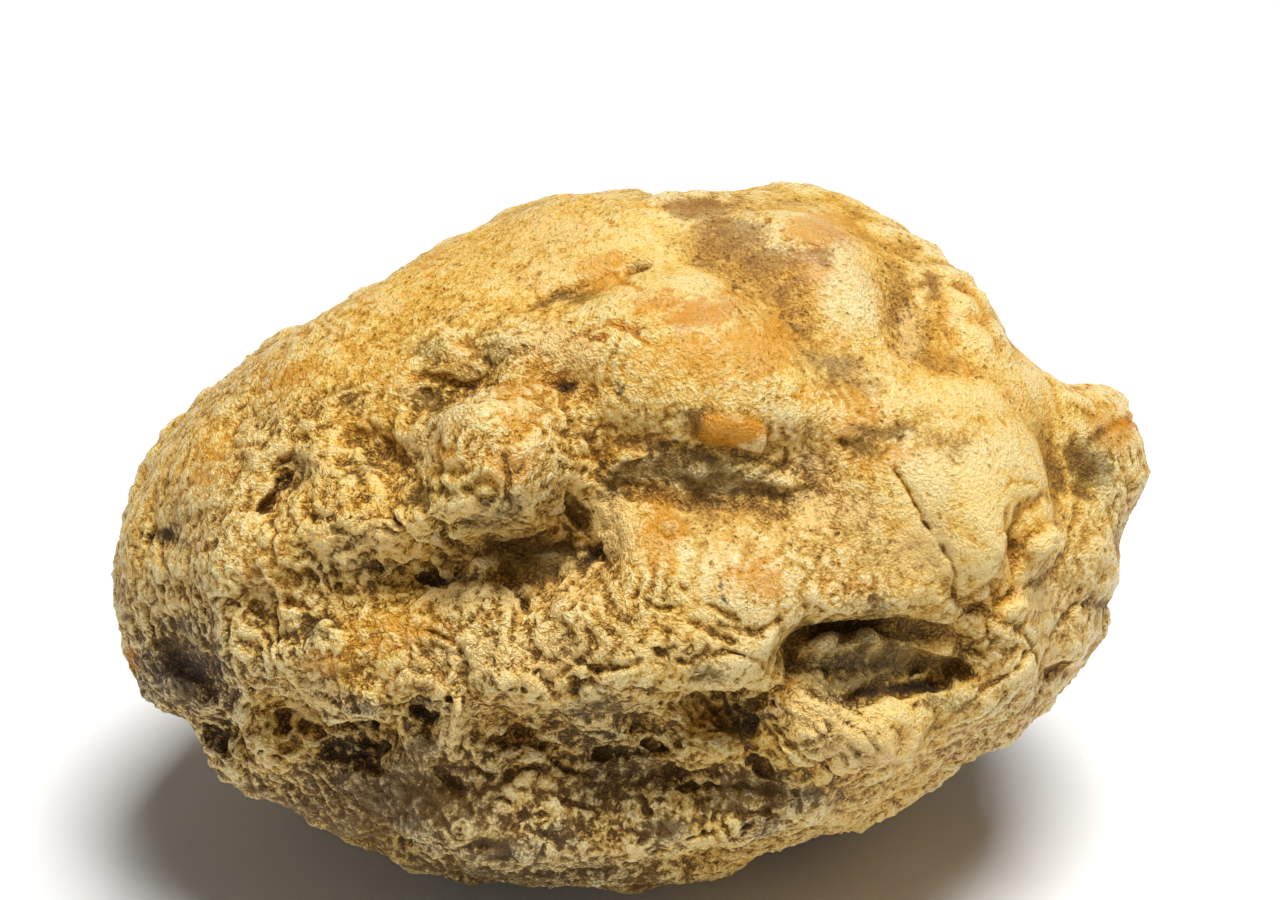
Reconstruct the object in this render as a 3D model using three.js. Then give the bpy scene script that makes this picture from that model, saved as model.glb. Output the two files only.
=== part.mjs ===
// A whole, unopened geode: one lumpy, pitted nodule, closed all round, that rests on a small worn flat.
//
// Lengths are in millimetres and +Z is up. +X runs along the stone, towards its beaked end. The origin is
// the middle of the underside. The show face looks towards -Y and tips back by FACE_TILT.
//
// Places on the stone are pairs [across, up] on the face plane, which goes through the stone's middle
// square to the show face. The line of sight from the eye point through that place picks the spot on the
// surface: the near side of the stone for the show face, and the far side for the back.
import * as THREE from "three";
import { ImprovedNoise } from "three/addons/math/ImprovedNoise.js";
import { mergeVertices } from "three/addons/utils/BufferGeometryUtils.js";

// Driving dimensions.
const FACE_TILT = THREE.MathUtils.degToRad(30);
const EYE = new THREE.Vector3(0.8, 5.9, 197.5); // the eye point: across, up, and out from the face plane
const FRONT_DEPTH = 23.5; // from the face plane to the show face
const BACK_DEPTH = 22.5; // from the face plane to the back
const FULLNESS = 2.25; // 2 is an ellipse in section, and more is boxier
const WORN_FLAT = 1.8; // how much of the underside is worn away to the flat that it rests on
const RIM_BAND = 0.36; // how far round from the face plane, as a sine, the outline's notches still show
const RIM_FIT = 0.978; // the outline is read where the eye grazes it, a little nearer than the face plane
const SPLITS = 21; // cuts along each edge of the starting icosahedron
const EVENING_ROUNDS = 40; // passes that even out the starting mesh
const FRONT_CROWDING = 0.2; // how much closer together its triangles stand on the show face
const EDGE_CROWDING = 0.12; // and how much closer round hollows and ledges
const COLOUR = "#d9a95c";

// The outline round the stone, seen square to the show face, clockwise from its left end.
const OUTLINE = [
  [-33.9, -2.9], [-33.7, -0.8], [-33.3, 1.8], [-32.4, 3.2], [-31.4, 5.9], [-28.3, 9.0], [-25.6, 11.4],
  [-22.5, 13.7], [-19.8, 15.2], [-16.3, 17.3], [-12.9, 19.3], [-10.7, 20.1], [-8.0, 21.6], [-5.1, 22.2],
  [-1.8, 22.9], [4.7, 22.9], [9.9, 23.3], [13.5, 23.1], [16.2, 21.2], [19.4, 20.0], [20.8, 18.6],
  [22.9, 16.2], [23.8, 14.6], [24.2, 12.9], [26.3, 11.9], [27.5, 10.7], [29.9, 10.3], [32.5, 9.3],
  [33.3, 7.6], [33.9, 4.9], [32.8, 1.8], [32.2, 0.6], [32.4, -1.0], [31.5, -2.9], [31.0, -4.6],
  [31.2, -5.9], [30.3, -7.8], [27.6, -10.5], [25.0, -12.9], [21.4, -14.5], [18.1, -17.0], [15.3, -18.8],
  [11.2, -19.6], [8.0, -20.3], [6.0, -21.4], [2.1, -21.6], [-1.2, -22.5], [-3.8, -22.5], [-6.4, -23.1],
  [-10.3, -22.4], [-14.4, -21.4], [-15.6, -20.3], [-18.2, -19.4], [-20.8, -18.1], [-21.8, -16.9],
  [-24.2, -16.8], [-26.5, -15.7], [-27.8, -13.7], [-28.4, -12.2], [-30.9, -10.8], [-32.5, -8.8],
  [-33.5, -6.5],
];

// Rounded swellings of the show face: where they run, how far they reach and how far they stand out.
const LUMPS = {
  centre_lump: { path: [[-9.6, 5.8], [-6.6, 4.6]], reach: 5.6, out: 3.2 },
  centre_brow: { path: [[-12.6, 1.4], [-7.6, 1.2]], reach: 2.6, out: 1.2 },
  upper_shelf: { path: [[-6.0, 13.4], [-1.0, 13.9]], reach: 3.2, out: 0.8 },
  bowl_bead: { path: [[-10.2, 12.3]], reach: 2.2, out: 0.9 },
  brow: { path: [[0.6, 12.6], [5.6, 11.2], [9.0, 9.4]], reach: 5.6, out: 1.5 },
  nodule: { path: [[5.4, 7.2], [7.6, 6.8]], reach: 2.2, out: 0.7 },
  right_crown: { path: [[11.2, 20.0], [15.0, 16.4], [15.8, 13.8]], reach: 4.2, out: 1.2 },
  rim_roll: { path: [[20.0, 17.4], [22.0, 14.6], [22.6, 13.0]], reach: 2.4, out: 0.6 },
  saddle_ridge: { path: [[15.4, 8.8], [20.4, 9.7], [25.3, 10.1], [28.2, 10.0]], reach: 2.5, out: 1.0 },
  plate: { path: [[19.6, 4.4], [24.4, 4.6], [23.0, 0.0]], reach: 4.2, out: 1.0 },
  left_finger: { path: [[22.6, 1.0], [22.9, -2.2]], reach: 2.2, out: 1.0 },
  right_finger: { path: [[28.0, 1.8], [27.0, -0.6]], reach: 2.0, out: 1.3 },
  low_finger: { path: [[26.0, -3.0], [25.0, -4.8]], reach: 2.0, out: 0.9 },
  beak_lip: { path: [[28.6, 9.8], [31.4, 8.0], [32.2, 5.4]], reach: 2.4, out: 0.7 },
  cheek: { path: [[3.6, -3.4], [9.0, -4.2]], reach: 7.0, out: 1.3 },
  cheek_chin: { path: [[5.4, -7.8], [8.6, -8.0]], reach: 3.4, out: 1.5 },
  cave_shelf: { path: [[11.4, -11.2], [17.2, -13.8]], reach: 3.4, out: 1.4 },
  cave_jaw: { path: [[22.6, -11.2], [25.4, -8.4]], reach: 3.2, out: 0.9 },
  left_dome: { path: [[-19.4, -6.4]], reach: 2.3, out: 1.0 },
  left_cheek: { path: [[-26.0, -2.0], [-24.4, 1.4]], reach: 3.6, out: 0.8 },
  left_brow: { path: [[-20.6, -0.6], [-14.2, -0.4]], reach: 2.3, out: 1.1 },
  left_knob: { path: [[-18.4, 2.6]], reach: 2.6, out: 0.9 },
  left_ridge: {
    path: [[-26.0, -5.2], [-25.4, -8.6], [-25.6, -11.4], [-23.4, -14.4]],
    reach: 2.2,
    out: 1.2,
  },
  swirl_knob: { path: [[-8.0, -8.8]], reach: 2.6, out: 1.1 },
  rib: { path: [[-11.4, -10.2], [-10.8, -14.0]], reach: 2.0, out: 1.0 },
  hanging_lobe: { path: [[-19.4, -11.4], [-15.6, -10.6]], reach: 2.2, out: 1.0 },
  fold_knob: { path: [[-2.8, -6.8], [0.4, -7.4]], reach: 3.0, out: 0.8 },
  toe_lobe: { path: [[-25.4, -15.0]], reach: 2.4, out: 0.8 },
  belly: { path: [[-20.0, -8.4], [-10.0, -9.0], [1.0, -8.6]], reach: 6.5, out: 1.1 },
  keel: { path: [[-12.6, -18.2], [-3.4, -19.0], [4.6, -18.2], [11.0, -17.0]], reach: 3.4, out: 1.8 },
  keel_knob: { path: [[-9.0, -17.4]], reach: 2.4, out: 0.7 },
};

// Hollows of the show face: the same, with how far they go in.
const HOLLOWS = {
  cave: { path: [[11.6, -7.6], [14.6, -7.6], [18.4, -7.4], [21.4, -8.2]], reach: 2.7, in: 3.4 },
  cave_corner: { path: [[14.8, -9.6], [17.0, -9.8]], reach: 1.9, in: 1.2 },
  deep_hollow: { path: [[-9.0, -0.6], [-6.4, -1.4], [-2.6, -1.0]], reach: 2.8, in: 3.4 },
  hollow_foot: { path: [[-7.6, -1.6], [-6.6, -3.6]], reach: 2.1, in: 1.6 },
  hollow_horn: { path: [[-4.0, 0.6], [-2.9, 2.4]], reach: 2.2, in: 1.8 },
  left_pocket: { path: [[-14.0, -2.4], [-12.0, -2.4]], reach: 1.9, in: 2.0 },
  brow_shadow: { path: [[-19.8, -2.6], [-15.8, -2.8]], reach: 2.0, in: 1.2 },
  long_valley: {
    path: [[-2.4, 5.6], [4.0, 2.9], [6.0, 2.2], [9.9, 2.6], [12.4, 4.0]],
    reach: 3.4,
    in: 2.4,
  },
  valley_eye: { path: [[4.0, 5.4], [9.4, 5.6]], reach: 1.9, in: 0.8 },
  upper_pocket: { path: [[-12.6, 9.6], [-9.6, 10.2]], reach: 2.2, in: 1.9 },
  lump_crease: { path: [[-12.8, 6.4], [-12.9, 3.2]], reach: 1.8, in: 0.8 },
  upper_pocket_left: { path: [[-17.0, 6.4], [-15.8, 5.0]], reach: 2.2, in: 1.3 },
  crescent: { path: [[-5.6, 15.9], [-3.0, 16.8], [-0.8, 17.5]], reach: 1.8, in: 1.4 },
  small_pit: { path: [[0.5, 18.2]], reach: 1.4, in: 1.2 },
  shelf_dent: { path: [[-2.4, 13.2], [0.6, 13.8]], reach: 1.7, in: 0.9 },
  brow_foot: { path: [[-4.6, 10.0], [-3.2, 9.6]], reach: 2.0, in: 1.0 },
  crown_valley: { path: [[4.9, 19.6], [8.8, 17.4], [12.0, 14.2], [13.9, 11.2]], reach: 3.0, in: 1.5 },
  saddle: { path: [[18.1, 15.9], [18.2, 13.4], [21.4, 12.0]], reach: 2.6, in: 1.7 },
  saddle_dent: { path: [[19.5, 17.2]], reach: 2.6, in: 0.8 },
  ridge_foot: { path: [[14.4, 6.2], [17.6, 7.4]], reach: 1.8, in: 0.8 },
  beak_hollow: { path: [[29.4, 6.4], [30.2, 4.2]], reach: 2.6, in: 2.8 },
  beak_gully: { path: [[30.2, 2.6], [30.4, 0.2]], reach: 2.0, in: 1.2 },
  finger_gap: { path: [[25.3, -1.6], [25.6, 1.2], [27.4, 3.2]], reach: 1.5, in: 1.1 },
  finger_pit: { path: [[22.6, -4.4]], reach: 1.8, in: 1.0 },
  edge_recess: { path: [[27.6, -8.8]], reach: 2.0, in: 1.0 },
  left_facet: { path: [[-30.2, -7.6], [-27.8, -9.6]], reach: 3.2, in: 1.5 },
  toe_notch: { path: [[-27.4, -12.6], [-25.8, -13.4]], reach: 1.7, in: 1.1 },
  slot_pit: { path: [[-22.4, 4.3], [-23.6, 2.7]], reach: 1.7, in: 2.1 },
  twin_pit: { path: [[-24.0, -4.4], [-23.4, -5.6]], reach: 1.7, in: 1.5 },
  dome_pocket: { path: [[-20.8, -5.2], [-18.8, -5.2]], reach: 1.6, in: 1.0 },
  edge_pit: { path: [[-30.6, 0.3]], reach: 1.9, in: 1.1 },
  slope_pit: { path: [[-26.0, 6.9]], reach: 1.9, in: 1.0 },
  cheek_hollow: { path: [[5.8, -11.6], [8.6, -12.0]], reach: 2.4, in: 2.2 },
  undercut: { path: [[-22.0, -13.0], [-9.0, -13.8], [5.0, -14.0]], reach: 5.2, in: 0.9 },
  low_pit_a: { path: [[-22.6, -12.7]], reach: 1.9, in: 1.8 },
  low_pit_b: { path: [[-18.4, -14.1], [-17.0, -13.8]], reach: 2.1, in: 2.2 },
  low_pit_c: { path: [[-13.4, -11.5]], reach: 1.7, in: 2.0 },
  low_pit_d: { path: [[-7.6, -12.8], [-5.2, -13.0]], reach: 1.7, in: 1.6 },
  low_pit_e: { path: [[0.6, -12.6], [2.0, -13.7]], reach: 1.7, in: 1.5 },
  low_pit_f: { path: [[8.6, -14.9]], reach: 1.6, in: 1.2 },
  low_groove: { path: [[2.2, -16.0], [5.0, -16.2], [9.0, -16.2]], reach: 1.5, in: 1.0 },
  low_bay: { path: [[-3.4, -14.6], [-1.0, -16.2]], reach: 2.8, in: 1.2 },
  keel_dent: { path: [[-9.8, -19.8]], reach: 1.7, in: 0.8 },
};

// Ledges of the show face. The stone stands out along the path, and drops by `drop` on the right of it
// as it runs, which is below a path that runs to the right. The drop is made good again over `run`.
const STEP_WIDTH = 0.9; // half the width of the drop itself
const LIP_RISE = 0.35; // how far the lip stands out, as a share of the drop
const END_FADE = 2.5; // how far past the ends of its path a ledge dies out
const LEDGES = {
  centre_lip: { path: [[-13.4, 0.2], [-10.4, -0.1], [-6.4, 0.8], [-3.8, 3.4]], drop: 1.6, run: 3.0 },
  left_lip: { path: [[-21.6, -1.8], [-18.0, -1.9], [-13.6, -1.2]], drop: 1.0, run: 2.6 },
  cave_lip: { path: [[9.8, -7.0], [13.4, -6.0], [18.6, -5.8], [22.4, -7.8]], drop: 1.6, run: 3.4 },
  cave_step: { path: [[14.8, -9.9], [17.6, -8.9], [21.8, -8.2]], drop: 0.9, run: 2.0 },
  plate_rim: { path: [[28.6, 2.8], [28.6, 5.1], [27.6, 7.3], [25.6, 8.5]], drop: 1.8, run: 2.6 },
  finger_edge: {
    path: [[20.8, -1.4], [21.6, -3.3], [23.1, -3.9], [24.4, -3.1], [24.7, -1.0], [24.9, 1.6]],
    drop: 1.3,
    run: 2.0,
  },
  right_finger_edge: { path: [[25.5, -2.6], [27.3, -2.2], [28.5, -0.4], [29.1, 2.2]], drop: 1.4, run: 2.2 },
  cheek_lip: { path: [[3.6, -10.0], [6.6, -10.4], [10.0, -9.4]], drop: 1.3, run: 2.6 },
  keel_lip: { path: [[-15.0, -19.2], [-11.6, -20.0], [-4.2, -21.2], [4.2, -20.8]], drop: 1.8, run: 3.4 },
  valley_lip: { path: [[-4.0, 7.2], [0.6, 6.4], [5.0, 5.0], [11.6, 5.6]], drop: 1.0, run: 3.0 },
  low_lip: { path: [[-23.8, -11.0], [-18.2, -12.4], [-14.6, -11.6]], drop: 1.2, run: 2.6 },
  toe_lip: { path: [[-27.8, -11.8], [-26.0, -12.2], [-24.6, -15.0], [-22.2, -16.2]], drop: 1.0, run: 2.4 },
};

// The back, in the same words. Places are still seen from the eye point, through the stone.
const BACK_LUMPS = {
  hump: { path: [[-8.0, 6.0], [4.0, 8.0]], reach: 8.5, out: 1.8 },
  shoulder: { path: [[16.0, 4.0], [20.0, 9.0]], reach: 6.0, out: 1.6 },
  knuckles: { path: [[-22.0, 2.0], [-24.0, -4.0]], reach: 5.0, out: 1.5 },
  boss: { path: [[6.0, -6.0]], reach: 5.0, out: 1.6 },
  small_boss: { path: [[-4.5, -4.0]], reach: 3.6, out: 1.2 },
  spur: { path: [[24.0, -3.0], [27.0, 2.0]], reach: 3.6, out: 1.3 },
  top_roll: { path: [[-14.0, 15.0], [-4.0, 18.0]], reach: 3.8, out: 1.1 },
  heel: { path: [[-15.0, -10.0], [-8.0, -13.0]], reach: 4.4, out: 1.2 },
};
const BACK_HOLLOWS = {
  basin: { path: [[-15.0, 9.0], [-13.0, 3.0]], reach: 4.2, in: 2.3 },
  long_gully: { path: [[-2.0, 0.5], [6.0, 1.5], [12.0, 0.0]], reach: 3.0, in: 2.2 },
  scoop: { path: [[12.0, 14.0], [15.0, 12.0]], reach: 4.2, in: 1.8 },
  pocket: { path: [[22.0, 4.5]], reach: 2.8, in: 1.8 },
  pit_a: { path: [[-19.0, -8.0]], reach: 2.6, in: 1.6 },
  pit_b: { path: [[-9.0, -8.0], [-6.5, -9.0]], reach: 2.4, in: 1.6 },
  pit_c: { path: [[14.5, -10.0], [17.0, -9.0]], reach: 2.8, in: 1.8 },
  pit_d: { path: [[0.0, 14.0], [3.0, 13.5]], reach: 2.4, in: 1.2 },
  pit_e: { path: [[-28.0, 3.5]], reach: 2.3, in: 1.1 },
};
const BACK_LEDGES = {
  hump_lip: { path: [[12.0, 3.6], [4.0, 4.2], [-4.0, 2.4], [-9.0, 0.6]], drop: 1.3, run: 4.0 },
  heel_lip: { path: [[20.0, -6.0], [10.0, -9.0], [2.0, -9.6]], drop: 1.1, run: 3.4 },
};

// Unevenness all over, as [wavelength, height], and where the crust is knobbly rather than smooth.
const SWELL = [[11, 0.9], [6.5, 0.55]];
const KNOBS = [[4.6, 0.8], [2.9, 0.45]];
const SMOOTH_PATCHES = {
  crown: { path: [[-8.0, 19.0], [4.0, 19.5], [14.0, 19.0], [20.0, 17.0]], reach: 7.0 },
  plate: { path: [[18.0, 8.0], [22.0, 3.0]], reach: 6.0 },
  beak: { path: [[28.0, 8.0], [31.0, 2.0]], reach: 5.0 },
};

const { clamp, smoothstep } = THREE.MathUtils;

// The distance from the middle to the outline in each direction, a curve through the outline's points.
const rim = new THREE.CatmullRomCurve3(
  OUTLINE.map(([across, up]) => new THREE.Vector3(across, up, 0).multiplyScalar(RIM_FIT)),
  true,
).getPoints(OUTLINE.length * 8);
const rimByAngle = rim
  .map((point) => [Math.atan2(point.y, point.x), Math.hypot(point.x, point.y)])
  .sort((a, b) => a[0] - b[0]);

function rimRadius(angle) {
  const turned = Math.atan2(Math.sin(angle), Math.cos(angle));
  const above = rimByAngle.findIndex((entry) => entry[0] >= turned);
  const next = rimByAngle[above < 0 ? 0 : above];
  const last = rimByAngle[above <= 0 ? rimByAngle.length - 1 : above - 1];
  const gap = (next[0] - last[0] + 2 * Math.PI) % (2 * Math.PI);
  const share = gap ? ((turned - last[0] + 2 * Math.PI) % (2 * Math.PI)) / gap : 0;
  return last[1] + (next[1] - last[1]) * share;
}

// The same distance averaged over a wide fan, so that notches in the rim don't run up to the face.
function broadRadius(angle) {
  const fan = THREE.MathUtils.degToRad(34);
  const rays = 8;
  let sum = 0;
  let weights = 0;
  for (let ray = -rays; ray <= rays; ray++) {
    const weight = Math.cos(((ray / rays) * Math.PI) / 2) ** 2;
    sum += weight * rimRadius(angle + (ray / rays) * fan);
    weights += weight;
  }
  return sum / weights;
}

// The plain form before any relief: the distance from the middle to the surface in a given direction.
function plainRadius(direction) {
  const angle = Math.atan2(direction.y, direction.x);
  const spread = Math.hypot(direction.x, direction.y);
  const nearRim = Math.exp(-((direction.z / RIM_BAND) ** 2));
  const broad = broadRadius(angle);
  const reach = broad + (rimRadius(angle) - broad) * nearRim;
  const depth = direction.z > 0 ? FRONT_DEPTH : BACK_DEPTH;
  const section = (spread / reach) ** FULLNESS + (Math.abs(direction.z) / depth) ** FULLNESS;
  return section ** (-1 / FULLNESS);
}

function plainPoint(direction) {
  return direction.clone().multiplyScalar(plainRadius(direction));
}

// The spot on the plain form that the eye sees through a place on the face plane, on side 1, the show
// face, or on side -1, the back.
function spotOn([across, up], side) {
  const place = new THREE.Vector3(across, up, 0);
  const sight = EYE.clone().sub(place).normalize().multiplyScalar(side);
  let inside = 0;
  let outside = 60;
  for (let halving = 0; halving < 40; halving++) {
    const middle = (inside + outside) / 2;
    const point = place.clone().addScaledVector(sight, middle);
    if (point.length() < plainRadius(point.clone().normalize())) inside = middle;
    else outside = middle;
  }
  return place.addScaledVector(sight, inside);
}

function layOut(strokes, side) {
  return Object.values(strokes).map((stroke) => ({
    ...stroke,
    spots: stroke.path.map((place) => spotOn(place, side)),
  }));
}

// How far a point is from a path, and on which side of it: positive on the right, seen from outside.
function nearest(point, spots) {
  let best = { distance: point.distanceTo(spots[0]), aside: 0 };
  for (let i = 1; i < spots.length; i++) {
    const closest = new THREE.Line3(spots[i - 1], spots[i]).closestPointToPoint(
      point,
      true,
      new THREE.Vector3(),
    );
    const distance = point.distanceTo(closest);
    if (i > 1 && distance >= best.distance) continue;
    const along = spots[i].clone().sub(spots[i - 1]).normalize();
    const right = along.cross(closest.clone().normalize()).normalize();
    best = { distance, aside: point.clone().sub(closest).dot(right) };
  }
  return best;
}

const fade = (distance, reach, core) => 1 - smoothstep(distance / reach, core, 1);

const lumps = [...layOut(LUMPS, 1), ...layOut(BACK_LUMPS, -1)];
const hollows = [...layOut(HOLLOWS, 1), ...layOut(BACK_HOLLOWS, -1)];
const ledges = [...layOut(LEDGES, 1), ...layOut(BACK_LEDGES, -1)];
const smoothPatches = layOut(SMOOTH_PATCHES, 1);

// How far a ledge moves the surface: out along its lip, and in on its right.
function ledgeStep(point, { spots, drop, run }) {
  const { distance, aside } = nearest(point, spots);
  const pastEnd = Math.sqrt(Math.max(distance ** 2 - aside ** 2, 0));
  const ends = 1 - smoothstep(pastEnd, END_FADE / 5, END_FADE);
  const dropped = smoothstep(aside, -STEP_WIDTH, STEP_WIDTH);
  const lip = LIP_RISE * (1 - dropped) * (1 - smoothstep(-aside, 0, run * 0.7));
  const foot = dropped * (1 - smoothstep(aside, STEP_WIDTH, run));
  return drop * ends * (lip - foot);
}

const noise = new ImprovedNoise();
const ripple = (point, wavelength, offset) =>
  noise.noise(point.x / wavelength + offset, point.y / wavelength, point.z / wavelength);

// Rounded knobs with creases between them.
const knob = (point, wavelength, offset) => 0.3 - Math.abs(ripple(point, wavelength, offset)) * 1.6;

function relief(point) {
  const smooth = smoothPatches.reduce(
    (most, { spots, reach }) => Math.max(most, fade(nearest(point, spots).distance, reach, 0.4)),
    0,
  );
  let out = 0;
  for (const [wavelength, height] of SWELL) out += height * ripple(point, wavelength, 0.5);
  for (const [wavelength, height] of KNOBS) {
    out -= height * (1 - smooth) * knob(point, wavelength, 7.3);
  }
  for (const stroke of lumps) {
    out += stroke.out * fade(nearest(point, stroke.spots).distance, stroke.reach, 0.1);
  }
  for (const stroke of hollows) {
    out -= stroke.in * fade(nearest(point, stroke.spots).distance, stroke.reach, 0.3);
  }
  for (const ledge of ledges) out += ledgeStep(point, ledge);
  return out;
}

// The starting mesh is an icosahedron cut small, then evened out on the plain form, with its triangles
// drawn closer together on the show face and round the hollows and ledges.
function startingMesh() {
  const ball = new THREE.IcosahedronGeometry(1, SPLITS);
  ball.deleteAttribute("normal");
  ball.deleteAttribute("uv");
  const merged = mergeVertices(ball, 1e-4);
  const count = merged.attributes.position.count;
  const neighbours = Array.from({ length: count }, () => new Set());
  const corners = merged.index.array;
  for (let i = 0; i < corners.length; i += 3) {
    for (let k = 0; k < 3; k++) {
      neighbours[corners[i + k]].add(corners[i + ((k + 1) % 3)]);
      neighbours[corners[i + k]].add(corners[i + ((k + 2) % 3)]);
    }
  }
  const towardsEye = new THREE.Vector3(0, 0, FRONT_CROWDING);
  let directions = Array.from({ length: count }, (_, i) =>
    new THREE.Vector3()
      .fromBufferAttribute(merged.attributes.position, i)
      .normalize()
      .add(towardsEye)
      .normalize(),
  );
  for (let round = 0; round < EVENING_ROUNDS; round++) {
    const points = directions.map(plainPoint);
    const pulls = points.map(detailPull);
    directions = points.map((_, i) => {
      const mean = new THREE.Vector3();
      for (const j of neighbours[i]) mean.addScaledVector(points[j], pulls[j]);
      return mean.normalize();
    });
  }
  return { directions, corners: [...corners] };
}

// How strongly a corner of the mesh draws its neighbours in: more on the edges of hollows and ledges.
function detailPull(point) {
  let most = 0;
  for (const { spots, reach, run } of [...hollows, ...ledges]) {
    const span = (reach ?? run) * 1.3;
    most = Math.max(most, fade(nearest(point, spots).distance, span, 0.5));
  }
  return 1 + EDGE_CROWDING * most;
}

// The surface's outward normal on the plain form, from two small steps round it.
function plainNormal(direction) {
  const step = 0.02;
  const side = new THREE.Vector3(0.31, -0.59, 0.74).cross(direction).normalize();
  const other = direction.clone().cross(side);
  const at = (u, v) =>
    plainPoint(direction.clone().addScaledVector(side, u).addScaledVector(other, v).normalize());
  const along = at(step, 0).sub(at(-step, 0));
  const across = at(0, step).sub(at(0, -step));
  return along.cross(across).normalize();
}

// The finished surface in a given direction from the middle.
function surfacePoint(direction) {
  const point = plainPoint(direction);
  return point.addScaledVector(plainNormal(direction), relief(point));
}

// Swaps the shared edge of two triangles for the other diagonal wherever that one lies closer to the
// surface, so that edges run along the lips and creases and not across them.
function turnEdges(corners, directions, points) {
  const edges = new Map();
  for (let i = 0; i < corners.length; i++) {
    const from = corners[i];
    const to = corners[i - (i % 3) + ((i + 1) % 3)];
    const key = Math.min(from, to) + ":" + Math.max(from, to);
    edges.set(key, [...(edges.get(key) ?? []), i]);
  }
  const off = (i, j) => {
    const halfway = directions[i].clone().add(directions[j]).normalize();
    const chord = points[i].clone().add(points[j]).multiplyScalar(0.5);
    return chord.distanceTo(surfacePoint(halfway));
  };
  const facing = (i, j, k) =>
    points[j].clone().sub(points[i]).cross(points[k].clone().sub(points[i])).normalize();
  const turned = new Set();
  for (const [first, second] of edges.values()) {
    const faces = [Math.floor(first / 3), Math.floor(second / 3)];
    if (faces.some((face) => turned.has(face))) continue;
    const [from, to, left] = [0, 1, 2].map((k) => corners[faces[0] * 3 + ((first + k) % 3)]);
    const right = corners[faces[1] * 3 + ((second + 2) % 3)];
    const fold = facing(from, right, left).dot(facing(to, left, right));
    const long = points[left].distanceTo(points[right]) > 1.5 * points[from].distanceTo(points[to]);
    if (long || fold < 0.2 || off(left, right) > 0.8 * off(from, to)) continue;
    corners.splice(faces[0] * 3, 3, from, right, left);
    corners.splice(faces[1] * 3, 3, to, left, right);
    faces.forEach((face) => turned.add(face));
  }
}

function stoneGeometry() {
  const { directions, corners } = startingMesh();
  const points = directions.map(surfacePoint);
  turnEdges(corners, directions, points);
  const tip = new THREE.Matrix4().makeRotationX(Math.PI / 2 - FACE_TILT);
  for (const point of points) point.applyMatrix4(tip);
  const bounds = new THREE.Box3().setFromPoints(points);
  const floor = bounds.min.z + WORN_FLAT;
  const middle = bounds.getCenter(new THREE.Vector3());
  for (const point of points) {
    point.sub(new THREE.Vector3(middle.x, middle.y, floor));
    point.z = Math.max(point.z, 0);
  }
  const geometry = new THREE.BufferGeometry().setFromPoints(points);
  geometry.setIndex(corners);
  geometry.computeVertexNormals();
  return geometry;
}

const geode = new THREE.Mesh(
  stoneGeometry(),
  new THREE.MeshStandardMaterial({ color: COLOUR, roughness: 0.75, metalness: 0 }),
);
geode.name = "geode";

const stone = new THREE.Group();
stone.add(geode);
export default stone;
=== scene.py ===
import math

import bpy
import numpy as np
from mathutils import Matrix, Vector
from mathutils.bvhtree import BVHTree


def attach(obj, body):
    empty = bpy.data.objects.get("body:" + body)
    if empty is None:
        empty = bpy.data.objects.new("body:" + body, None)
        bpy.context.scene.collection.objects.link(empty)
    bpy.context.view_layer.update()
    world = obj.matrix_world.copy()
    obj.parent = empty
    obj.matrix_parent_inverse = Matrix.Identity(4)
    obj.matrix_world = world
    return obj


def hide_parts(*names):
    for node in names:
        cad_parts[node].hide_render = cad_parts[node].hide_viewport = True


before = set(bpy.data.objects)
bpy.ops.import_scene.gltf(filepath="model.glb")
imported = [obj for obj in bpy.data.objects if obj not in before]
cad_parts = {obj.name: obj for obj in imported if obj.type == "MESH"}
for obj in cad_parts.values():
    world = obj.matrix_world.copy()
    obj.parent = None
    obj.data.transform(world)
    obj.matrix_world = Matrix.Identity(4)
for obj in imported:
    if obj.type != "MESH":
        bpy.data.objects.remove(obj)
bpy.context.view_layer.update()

# A whole geode. The solid gives its lumps, ledges and hollows. Here a copy of it is cut finer, and its
# crust is worked over: first stroke by stroke, then all over with knobs, wrinkles and grain.
#
# Strokes are laid on the show face by places, [across, up] in millimetres, on a plane through the
# stone's middle that faces the eye. The line of sight through a place finds the spot on the crust.

MM = 0.001
FACE_TILT = math.radians(30)
MIDDLE = np.array([0.0, 0.24, 21.8])  # the stone's middle, in millimetres above the shelf
ACROSS = np.array([1.0, 0.0, 0.0])
UP = np.array([0.0, math.sin(FACE_TILT), math.cos(FACE_TILT)])
OUT = np.array([0.0, -math.cos(FACE_TILT), math.sin(FACE_TILT)])
EYE = MIDDLE + 0.8 * ACROSS + 5.9 * UP + 197.5 * OUT

# How far apart the crust's textures repeat and how high they stand, in millimetres.
KNOB_SIZE, KNOB_HEIGHT = 3.0, 0.48
FOLD_SIZE, FOLD_HEIGHT = 6.0, 0.14
CRUMB_SIZE, CRUMB_HEIGHT = 1.0, 0.3
GRIT_SIZE, GRIT_HEIGHT = 0.55, 0.24
PORE_SIZE, PORE_DEPTH = 0.8, 0.28
SHELTER_REACH = 5  # how far off crust still shuts a spot in, in millimetres
TRIANGLES_KEPT = 196000
UNTANGLE_TURNS = 24  # how often the crust is searched for faces that cut each other, at most
RELAX_ROUNDS, RELAX_PULL = 4, 0.6  # and how long and hard it is then relaxed there
FULLER = 1.3  # patches of wear are raised by this and cut off at 1, so that their middles are flat


def only(piece):
    """Makes this the one selected and active object."""
    bpy.ops.object.select_all(action="DESELECT")
    piece.select_set(True)
    bpy.context.view_layer.objects.active = piece


def finish_modifier(piece, kind, **settings):
    """Adds a modifier with these settings and applies it."""
    only(piece)
    modifier = piece.modifiers.new(kind.title(), kind)
    for name, value in settings.items():
        setattr(modifier, name, value)
    bpy.ops.object.modifier_apply(modifier=modifier.name)


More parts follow.
